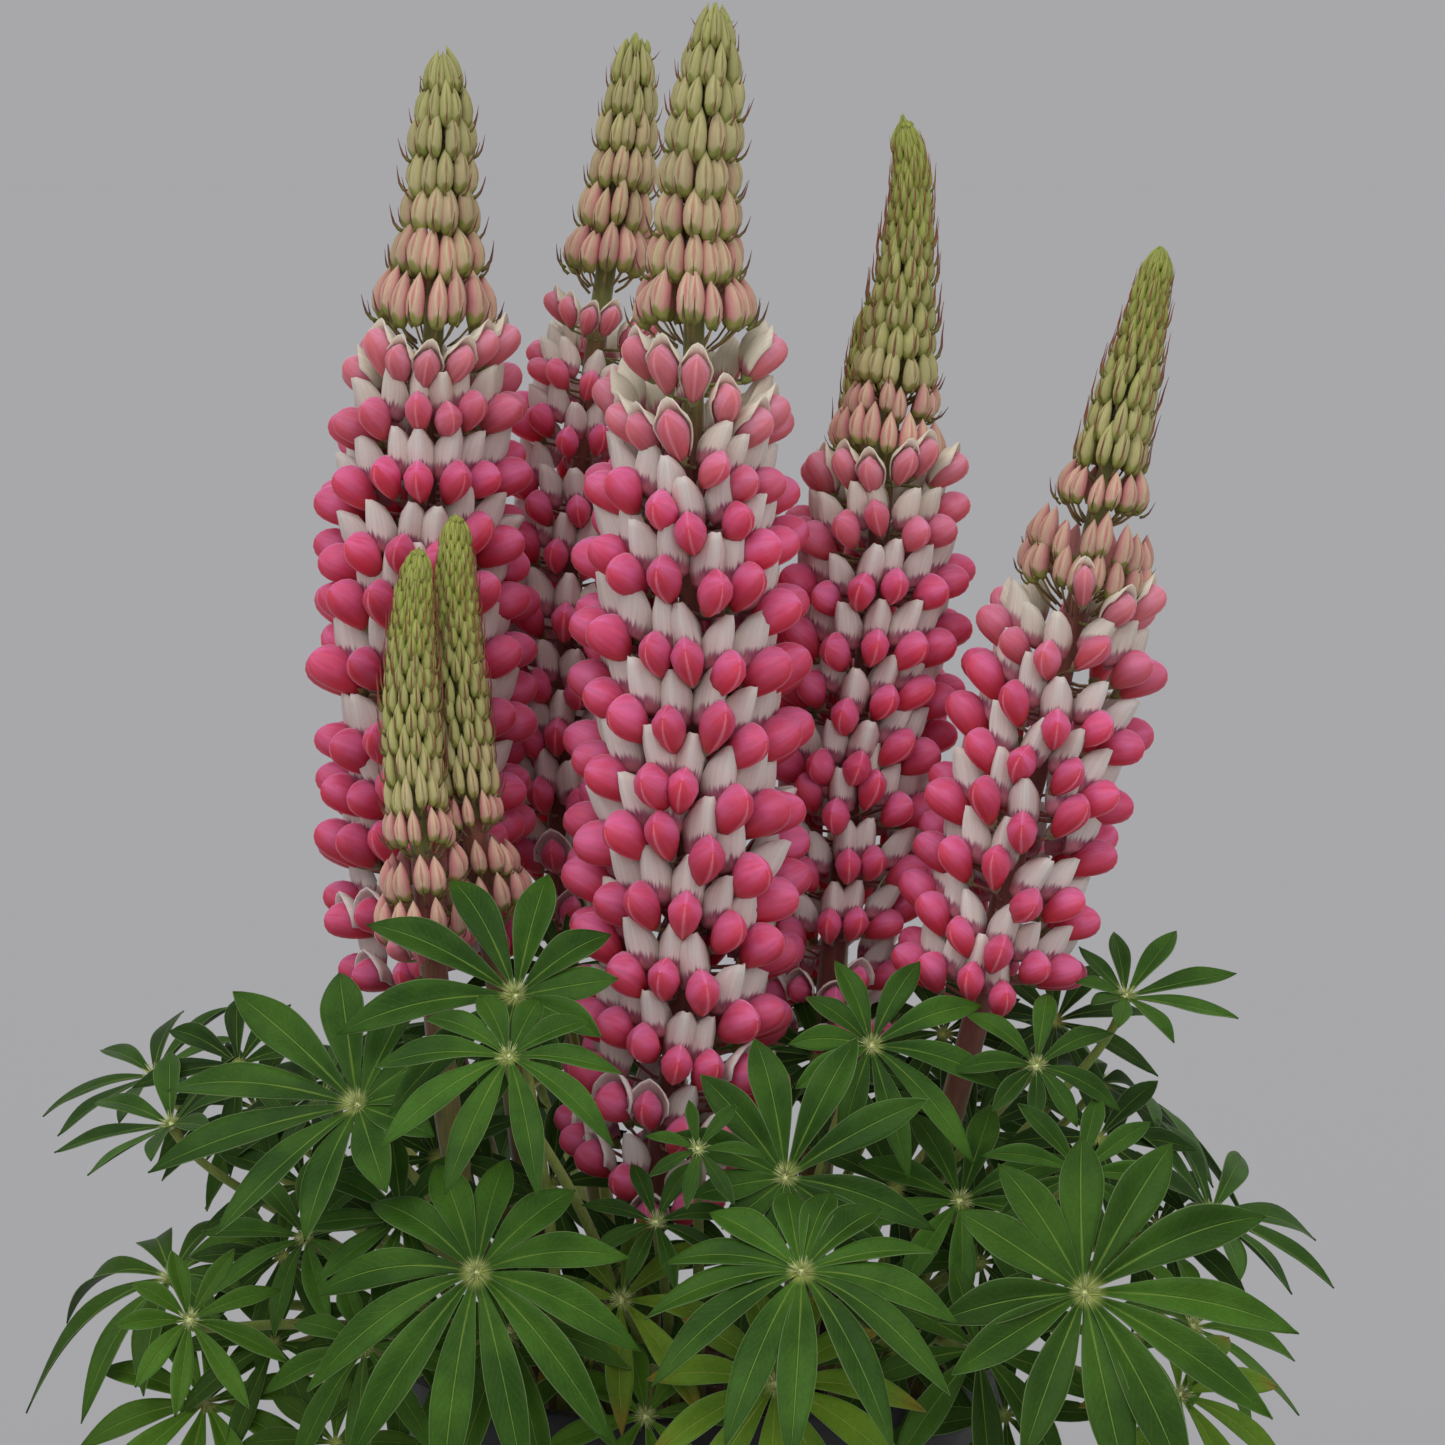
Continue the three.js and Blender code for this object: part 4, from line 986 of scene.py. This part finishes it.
def add_bud(pieces, place_at, turn, radius, wide, high, lean, tone, age, awn, close=False):
    """One bud with its calyx, its stalk and its bract, so that it stands out to the radius."""
    basis, place = spot(place_at, turn, lean, 0.0)
    outward = basis[0] * math.cos(lean) - basis[2] * math.sin(lean)
    upward = basis[2] * math.cos(lean) + basis[0] * math.sin(lean)
    foot = place + outward * (radius - BUD_REACH * wide)
    size = np.array([wide, wide, high])
    pieces["buds"].add(SMALL_BUD_FORM if close else BUD_FORM, basis * size[:, None], foot, tone, age)
    form = CLOSE_AWN if close else SPREADING_AWN
    pieces["awns"].add(form, basis * (size * awn)[:, None], foot, tone, age)
    inner = place + outward * (0.3 * radius) - upward * (0.35 * radius)
    middle = (inner + foot) / 2 - upward * 0.4
    stalk = sweep([inner, middle, foot + basis[2] * 0.8], 0.42 * min(1.0, wide + 0.25), 4, paint=2)
    pieces["stems"].add(stalk, tone=tone, age=0.6)


# How far apart buds stand in a wide row: in an open spike, in a dense one, and on longer stalks
OPEN_PITCH = 6.4
DENSE_PITCH = 5.5
LOOSE_PITCH = 6.8

# A spike is dense where its last rows are closer than this. Open spikes' buds lean in no further
# than MOST_LEAN, and those at the tip are at least CROWN_HEIGHT tall.
DENSE_STEP = 4
MOST_LEAN = 0.3
CROWN_HEIGHT = 7
GOLDEN_TURN = 2.4

# How tall a bud is for the step between rows, at these shares of the way from the lowest row to the tip
OVERLAP_AT = (0, 0.12, 0.3, 0.8)
DENSE_OVERLAP = (1.1, 1.5, 1.5, 2.25)
OPEN_OVERLAP = (1.16, 1.25, 1.29, 1.45)


def add_loose_buds(buds, line, pieces, rng):
    """Rows of the oldest buds, which stand out on longer stalks below the rest."""
    for height, radius, breadth, length in buds.get("loose", ()):
        wave = rng.uniform(0, 2 * math.pi)
        count = max(buds["around"], round(2 * math.pi * radius / LOOSE_PITCH))
        for number in range(count):
            turn = (number + rng.uniform(-0.25, 0.25)) * 2 * math.pi / count
            jitter = rng.uniform(0.92, 1.08)
            rise = 2.2 * math.sin(turn + wave) + rng.normal(0, 0.8) - length / 2
            add_bud(pieces, line.at(height + rise), turn, radius, breadth / BUD_BREADTH * jitter,
                    length / BUD_HEIGHT * jitter, lean=-0.06, tone=rng.random(), age=0.0, awn=0.8)


def add_bud_rows(spike, line, pieces, rng, dense):
    """Rows of buds that get smaller, closer and younger up the spike, up to the height returned."""
    buds = spike["buds"]
    low, tip = buds["low"], buds["tip"]
    height, row = low, 0
    while True:
        share = (height - low) / (tip - low)
        step = float(between(share ** 0.85, [0, 1], buds["steps"]))
        tall = float(between(share, OVERLAP_AT, DENSE_OVERLAP if dense else OPEN_OVERLAP)) * step
        if height + tall * 0.7 > tip:
            return height
        radius = bud_radius(spike, height + tall / 2)
        inner = 2 * math.pi * max(radius - 1.8, 1.2)
        count = max(buds["around"], round(inner / (DENSE_PITCH if dense else OPEN_PITCH)))
        slope = (bud_radius(spike, height + tall) - bud_radius(spike, height)) / tall
        lean = math.atan(-slope) * 0.8
        if dense:
            young = float(between(share, [0, 0.1, 0.35, 0.8], [0.05, 0.48, 0.66, 1]))
            width = inner / count * (0.88 + 0.28 * float(smooth(0.4, 0.8, share)))
        else:
            young = 0.75 * share ** 0.8
            width = inner / count * 0.92
            lean = min(lean, MOST_LEAN)
        pale = buds.get("pale", 0.55) - 0.4 * share
        for number in range(count):
            turn = (number + 0.5 * (row % 2)) * 2 * math.pi / count + rng.normal(0, 0.05)
            spread = rng.normal(0, 0.04) - 0.1 * (1 - float(smooth(0.0, 0.25, share)))
            wide = width / BUD_BREADTH * rng.uniform(0.94, 1.06)
            high = tall / BUD_HEIGHT * rng.uniform(0.93, 1.07)
            awn = rng.uniform(0.8, 1.12)
            if dense:
                awn *= float(between(share, [0, 0.5, 0.75, 1], [1, 1.2, 1.05, 0.6]))
            add_bud(pieces, line.at(height + rng.normal(0, 0.09) * step), turn, radius, wide, high,
                    lean=lean + spread, tone=min(max(pale + rng.uniform(-0.3, 0.3), 0), 1),
                    age=float(np.clip(young + rng.normal(0, 0.04), 0, 1)), awn=awn,
                    close=dense and share > 0.12)
        height += step
        row += 1


def add_crown(buds, line, pieces, rng, dense, height):
    """The closed buds at a spike's very tip."""
    start = height if dense else min(height, buds["tip"] - CROWN_HEIGHT)
    crown = 12 if dense else 7
    for number in range(crown):
        outer = math.sqrt(number / crown)
        turn = number * GOLDEN_TURN + rng.normal(0, 0.2)
        wide = (0.34 if dense else 0.5) * rng.uniform(0.85, 1.1)
        high = (buds["tip"] - start) / BUD_HEIGHT * rng.uniform(0.85, 1.0) * (1.1 - 0.45 * outer)
        reach = 0.7 + (2.3 if dense else 4.4) * outer
        add_bud(pieces, line.at(start), turn, reach, wide, high, lean=-0.12, tone=0.5 * rng.random(),
                age=1.0 if dense else 0.85, awn=0.7 if dense else 1.5, close=dense)


def add_buds(spike, line, pieces):
    buds = spike["buds"]
    rng = random_for(spike["name"] + "_buds")
    dense = buds["steps"][1] < DENSE_STEP
    add_loose_buds(buds, line, pieces, rng)
    top_row = add_bud_rows(spike, line, pieces, rng, dense)
    add_crown(buds, line, pieces, rng, dense, top_row)


def add_stem(spike, line, stems):
    top = spike["buds"]["tip"] - 5
    heights = np.linspace(SOIL_TOP + STEM_UPRIGHT, top, 70)
    zone = [SOIL_TOP, spike["flowers"]["low"] if "flowers" in spike else spike["buds"]["low"],
            spike["buds"]["low"], top]
    places = [line.at(height)[0] for height in heights]
    x, y = spike["root"]
    places = [(x, y, SOIL_TOP - ROOT_DEPTH), (x, y, SOIL_TOP - 4), *places]
    radii = between(heights, zone, [STALK_RADIUS, STALK_RADIUS, STALK_TOP_RADIUS + 0.4, 1.6])
    radii = np.concatenate([[STALK_RADIUS, STALK_RADIUS], radii])
    along = between(heights, zone, [0.05, 0.4, 0.7, 1.0])
    along = np.concatenate([[0, 0], along])
    stems.add(sweep(places, radii, 20, along=along, paint=0, ridges=7, depth=0.045))


for spike in SPIKES:
    line = SpikeLine(spike)
    name = spike["name"]
    pieces = {kind: Piece() for kind in ("stems", "buds", "awns", "wings", "banners")}
    add_stem(spike, line, pieces["stems"])
    add_buds(spike, line, pieces)
    carried = [f"stalk_{name}", f"buds_{name}"]
    if "flowers" in spike:
        add_florets(spike, line, pieces)
        pieces["wings"].make(f"wings_{name}", [WING], "petals", [f"flowers_{name}"])
        pieces["banners"].make(f"banners_{name}", [BANNER], "petals", [f"flowers_{name}"])
        carried.append(f"flowers_{name}")
    pieces["stems"].make(f"stems_{name}", [STEM, CALYX, PEDICEL], "stalk", carried)
    pieces["buds"].make(f"bud_rows_{name}", [BUD], "buds", [f"buds_{name}"])
    pieces["awns"].make(f"bracts_{name}", [AWN], "buds", [f"buds_{name}"])

# Leaves

LEAFLET_ROWS = 16
LEAFLET_COLUMNS = 6
INNER_ROWS = 10
INNER_COLUMNS = 4


def leaf_directions(faces):
    turn, tilt = (math.radians(angle) for angle in faces)
    out = np.array([math.sin(turn) * math.cos(tilt), -math.cos(turn) * math.cos(tilt), math.sin(tilt)])
    right = np.array([math.cos(turn), math.sin(turn), 0])
    return out, right, np.cross(out, right)


def leaflet_outline(share):
    """Half of a leaflet's width at a share of its length, as a share of its greatest."""
    rising = 0.09 + 0.91 * np.sin(np.clip(share / LEAFLET_WIDEST, 0, 1) * math.pi / 2) ** 1.5
    end = np.clip((share - LEAFLET_WIDEST) / (1 - LEAFLET_WIDEST), 0, 1)
    return rising * (1 - end ** 1.7) ** 0.92 + 0.004


def make_leaflet(directions, hub, angle, length, reach, arch, fineness, rng):
    out, right, up = directions
    twist = rng.normal(0, 0.16)
    bend = rng.normal(0, 0.05)
    fold = rng.uniform(0.25, 0.7)
    more_sag = rng.uniform(-0.02, 0.05)
    along, across = petal_grid(*fineness, crowding=0.93)
    distance = along * length
    width = (LEAFLET_REACH_WIDTH * reach + LEAFLET_LENGTH_WIDTH * length) * rng.uniform(0.92, 1.1)
    half = width / 2 * leaflet_outline(along)
    ahead = right * math.cos(angle) + up * math.sin(angle)
    sideways = np.cross(out, ahead)
    turned = twist * along
    beside = across * half * np.cos(turned) + bend * length * along ** 2
    lifted = across * half * np.sin(turned) + fold * np.abs(across) * half * (1.15 - 0.5 * along)
    ripple = 0.022 * length * np.sin(along * 9 + rng.uniform(0, 6)) * np.abs(across) ** 2 * 0.35
    sag = LEAFLET_SAG * arch * distance ** 2 / reach + more_sag * length * along ** 3
    raised = LEAFLET_RISE * distance - sag + lifted + ripple
    grid = (np.asarray(hub, float) + distance[..., None] * ahead + beside[..., None] * sideways
            + raised[..., None] * out)
    grid[..., 2] -= sag
    thickness = BLADE_THICKNESS * (1 - 0.55 * np.abs(across) ** 3)
    return sheet(grid, thickness, along, across)


def make_petiole(directions, hub, root):
    out = directions[0]
    flat = math.hypot(hub[0], hub[1])
    foot = np.array([hub[0] * root / flat, hub[1] * root / flat, SOIL_TOP + STEM_UPRIGHT])
    head = np.asarray(hub, float) - out * HUB_DEPTH * 0.4
    lift = max(PETIOLE_RISE * (head[2] - foot[2]), PETIOLE_LEAST_RISE)
    rise = foot + (head - foot) * PETIOLE_LEAN
    rise[2] = foot[2] + lift
    approach = head - out * PETIOLE_APPROACH * np.linalg.norm(head - foot)
    shares = np.linspace(0, 1, 22)[:, None]
    left = 1 - shares
    curve = (left ** 3 * foot + 3 * left ** 2 * shares * rise + 3 * left * shares ** 2 * approach
             + shares ** 3 * head)
    below = foot - [0, 0, STEM_UPRIGHT + ROOT_DEPTH]
    places = np.concatenate([[below], curve])
    radii = np.interp(np.linspace(0, 1, len(places)), [0, 0.15, 0.9, 1], [1.15, 1.05, 0.72, 0.95])
    return sweep(places, radii * PETIOLE_RADIUS, 8, paint=1)


def add_hairs(piece, directions, hub, reach, rng):
    """Silky hairs that stand round the middle of a leaf, over a small pale disc."""
    out, right, up = directions
    middle_of_leaf = np.asarray(hub, float)
    disc = sweep([middle_of_leaf - out * 0.6, middle_of_leaf + out * 0.5, middle_of_leaf + out * 1.1],
                 [1.7, 1.7, 0.8], 8, paint=2)
    piece.add(disc)
    longest = 2.2 + 0.05 * reach
    for _ in range(HAIRS):
        turn = rng.uniform(0, 2 * math.pi)
        rise = rng.uniform(0.2, 1.1)
        away = (right * math.cos(turn) + up * math.sin(turn)) * math.cos(rise) + out * math.sin(rise)
        start = middle_of_leaf + away * 1.0 + out * 0.2
        end = start + away * longest * rng.uniform(0.45, 1.0)
        piece.add(sweep([start, end], [0.1, 0.03], 3, paint=2))


def make_leaf(name, hub, faces, reach, count, lead, uneven, arch, root, inner=False):
    """A leaf in place of the CAD model's leaf of that name. An inner one is in place of none."""
    rng = random_for(name)
    directions = leaf_directions(faces)
    piece = Piece()
    # The outer leaves' tone differs at random. The crown leaves, deep among the stalks, get a darker
    # tone as painted shade.
    tone = rng.uniform(0.0, 0.3) if inner else rng.uniform(0.4, 0.64)
    # Painted shade: a leaf in the shade of the others gets a darker tone.
    if name in PAINTED_SHADE_LEAVES:
        tone -= 0.14
    fineness = (INNER_ROWS, INNER_COLUMNS) if inner else (LEAFLET_ROWS, LEAFLET_COLUMNS)
    lower = float(1 - smooth(165, 215, hub[2])) * rng.uniform(0.2, 1.0)
    for number in range(count):
        angle = math.radians(lead) + number * 2 * math.pi / count
        longest = 1 - uneven * (1 - math.cos(angle - math.radians(lead))) / 2
        length = reach * longest * rng.uniform(0.95, 1.0)
        angle += rng.normal(0, 0.045)
        leaflet = make_leaflet(directions, hub, angle, length, reach, arch, fineness, rng)
        piece.add(leaflet, tone=float(np.clip(tone + rng.normal(0, 0.09), 0, 1)), age=lower)
    piece.add(make_petiole(directions, hub, root), tone=tone)
    if not inner:
        add_hairs(piece, directions, hub, reach, rng)
    blade, slot = (YELLOW_LEAF, "leaf_yellowing") if name in YELLOW_LEAVES else (LEAF, "leaf")
    piece.make(f"blades_{name}", [blade, PETIOLE, HAIR], slot, [] if inner else [name])


for name, leaf in LEAVES.items():
    make_leaf(name, *leaf)
for number, (*leaf, root) in enumerate(CROWN_LEAVES, 1):
    make_leaf(f"crown_{number:02d}", *leaf, CROWN_UNEVEN, CROWN_ARCH, root, inner=True)

# Pot and soil


def turned_mesh(name, profile, sides):
    """A mesh turned about the pot's axis from (radius, height) points, the first and last on it."""
    angles = ring_angles(sides)
    rings = [[(radius * math.cos(angle), radius * math.sin(angle), height) for angle in angles]
             for radius, height in profile[1:-1]]
    form = loft(rings, (0, 0, profile[0][1]), (0, 0, profile[-1][1]), np.linspace(0, 1, len(rings)))
    mesh = bpy.data.meshes.new(name)
    mesh.from_pydata((form.points * MM).tolist(), [], form.quads.tolist() + form.tris.tolist())
    mesh.update()
    return mesh


def pot_inner_radius(height):
    share = height / (POT_HEIGHT - RIM_HEIGHT)
    return POT_BASE_RADIUS + share * (POT_RIM_RADIUS - RIM_LIP - POT_BASE_RADIUS) - POT_WALL


def pot_outer_radius(height):
    return pot_inner_radius(height) + POT_WALL


def make_pot():
    lip_foot = POT_HEIGHT - RIM_HEIGHT
    body_top = pot_outer_radius(lip_foot)
    outline = [(0, 0), (DRAIN_CIRCLE - 12, 0), (POT_BASE_RADIUS - 5, 0), (POT_BASE_RADIUS - 1.6, 0),
               (POT_BASE_RADIUS - 0.4, 0.5), (pot_outer_radius(1.6), 1.6)]
    for height in (7, 7.6, 8.2, 40, 80, 118):
        step = 0.5 if height < 8 else 0.0
        outline.append((pot_outer_radius(height) - step, height))
    outline += [(pot_outer_radius(126), 126), (pot_outer_radius(126.6) + 0.8, 126.6),
                (pot_outer_radius(129.4) + 0.8, 129.4), (pot_outer_radius(130), 130),
                (body_top - 0.2, lip_foot - 0.6), (body_top, lip_foot),
                (POT_RIM_RADIUS - 0.8, lip_foot + 0.1), (POT_RIM_RADIUS - 0.2, lip_foot + 0.5),
                (POT_RIM_RADIUS, lip_foot + 1.3), (POT_RIM_RADIUS, POT_HEIGHT - 2.2),
                (POT_RIM_RADIUS - 0.5, POT_HEIGHT - 0.7), (POT_RIM_RADIUS - 1.6, POT_HEIGHT),
                (body_top - POT_WALL + 2.4, POT_HEIGHT), (body_top - POT_WALL + 1.5, POT_HEIGHT - 0.8),
                (pot_inner_radius(lip_foot), lip_foot), (pot_inner_radius(60), 60),
                (pot_inner_radius(POT_FLOOR) - 1.0, POT_FLOOR + 0.6),
                (pot_inner_radius(POT_FLOOR) - 3.0, POT_FLOOR), (0, POT_FLOOR)]
    mesh = turned_mesh("pot_shell", outline, 120)
    mesh.shade_smooth()
    shell = place_object("pot_shell", mesh, ["pot"])
    for number in range(DRAIN_COUNT):
        angle = 2 * math.pi * number / DRAIN_COUNT
        ring = [(0, -6), (DRAIN_RADIUS, -6), (DRAIN_RADIUS, 12), (0, 12)]
        drill_mesh = turned_mesh("drill", ring, 28)
        away = Vector((DRAIN_CIRCLE * math.cos(angle), DRAIN_CIRCLE * math.sin(angle), 0))
        drill_mesh.transform(Matrix.Translation(away * MM))
        drill = add_object("drill", drill_mesh)
        cut = shell.modifiers.new("drain", "BOOLEAN")
        cut.operation = "DIFFERENCE"
        cut.object = drill
        apply_modifiers(shell)
        bpy.data.objects.remove(drill)
    shell.data.materials.clear()
    shell.data.materials.append(make_pot_paint())
    shell.data.set_sharp_from_angle(angle=math.radians(38))


def apply_modifiers(made):
    bpy.context.view_layer.update()
    evaluated = made.evaluated_get(bpy.context.evaluated_depsgraph_get())
    mesh = bpy.data.meshes.new_from_object(evaluated)
    made.modifiers.clear()
    made.data = mesh


def make_soil():
    """Crumbly compost: its upper face is raised in lumps, its sides follow the pot."""
    rng = random_for("soil")
    sides, rings = 150, 52
    inner = pot_inner_radius(SOIL_TOP) - 0.5
    angles = ring_angles(sides)
    lumps = rng.uniform(-1, 1, (420, 2)) * inner
    sizes = rng.uniform(2.2, 6.5, len(lumps))
    tall = rng.uniform(0.25, 0.75, len(lumps)) * sizes
    shares = np.linspace(1, 0, rings + 1)[:-1]
    layers, along = [], []
    for height in (POT_FLOOR + 0.5, 60, SOIL_TOP - 6):
        radius = pot_inner_radius(height) - 0.4
        layers.append(np.stack([radius * np.cos(angles), radius * np.sin(angles),
                                np.full(sides, float(height))], 1))
    for share in shares:
        x, y = inner * share * np.cos(angles), inner * share * np.sin(angles)
        away = np.hypot(x[:, None] - lumps[:, 0], y[:, None] - lumps[:, 1])
        lump = (np.clip(1 - (away / sizes) ** 2, 0, 1) ** 1.3 * tall).max(1)
        grain = rng.uniform(-0.35, 0.35, sides)
        edge = smooth(0.9, 1.0, share)
        layers.append(np.stack([x, y, SOIL_TOP - 1.6 + (lump + grain) * (1 - 0.7 * edge)], 1))
    centre = layers[-1][:, 2].mean()
    form = loft(layers, (0, 0, POT_FLOOR + 0.5), (0, 0, centre), np.linspace(0, 1, len(layers)))
    piece = Piece()
    piece.add(form)
    piece.make("compost", [make_soil_paint()], "soil", ["soil"])


make_pot()
make_soil()

# Floor, light and camera

FLOOR_REACH_METRES = 150.0
floor_mesh = bpy.data.meshes.new("floor")
floor_corners = [(x * FLOOR_REACH_METRES, y * FLOOR_REACH_METRES, 0)
                 for x, y in ((-1, -1), (1, -1), (1, 1), (-1, 1))]
floor_mesh.from_pydata(floor_corners, [], [(0, 1, 2, 3)])
floor = add_object("floor", floor_mesh)
floor_mesh.materials.append(Paint("floor", roughness=0.9, specular=0.0).finish((182, 182, 184)))

world = bpy.data.worlds.new("studio")
bpy.context.scene.world = world
world.use_nodes = True
background = world.node_tree.nodes["Background"]
background.inputs["Color"].default_value = srgb(168, 168, 170)
background.inputs["Strength"].default_value = 1.0

def aim(name, data, place, ahead):
    """A light or camera at a place in metres, which looks ahead."""
    made = add_object(name, data)
    made.location = place
    made.rotation_mode = "QUATERNION"
    made.rotation_quaternion = ahead.to_track_quat("-Z", "Y")
    return made


def add_light(name, place, softness, strength):
    """A sun that shines from the side where a place is; how far off that place is makes no odds."""
    data = bpy.data.lights.new(name, "SUN")
    data.angle = math.radians(softness)
    data.energy = strength
    aim(name, data, Vector(place), -Vector(place))


add_light("key", (-0.8, -1.3, 1.9), 45, 0.85)
add_light("fill", (1.3, -1.5, 0.5), 80, 0.5)
add_light("front", (-0.2, -1.6, 0.25), 120, 0.66)
add_light("back", (0.35, 1.0, 1.4), 100, 0.45)

# The camera, in metres: the point that it looks at, how far from that it stands, and how wide a
# view it has there, at 0.30 mm for each of the photograph's 1445 pixels.
TARGET = Vector((0.007, 0, 0.351))
CAMERA_DISTANCE = 1.6
CAMERA_LIFT = math.radians(6)
FRAME_WIDTH = 0.30 * MM * 1445
camera_data = bpy.data.cameras.new("camera")
camera_data.angle = 2 * math.atan(FRAME_WIDTH / 2 / CAMERA_DISTANCE)
away = Vector((0, -math.cos(CAMERA_LIFT), math.sin(CAMERA_LIFT)))
bpy.context.scene.camera = aim("camera", camera_data, TARGET + away * CAMERA_DISTANCE, -away)
bpy.context.scene.view_settings.view_transform = "Standard"
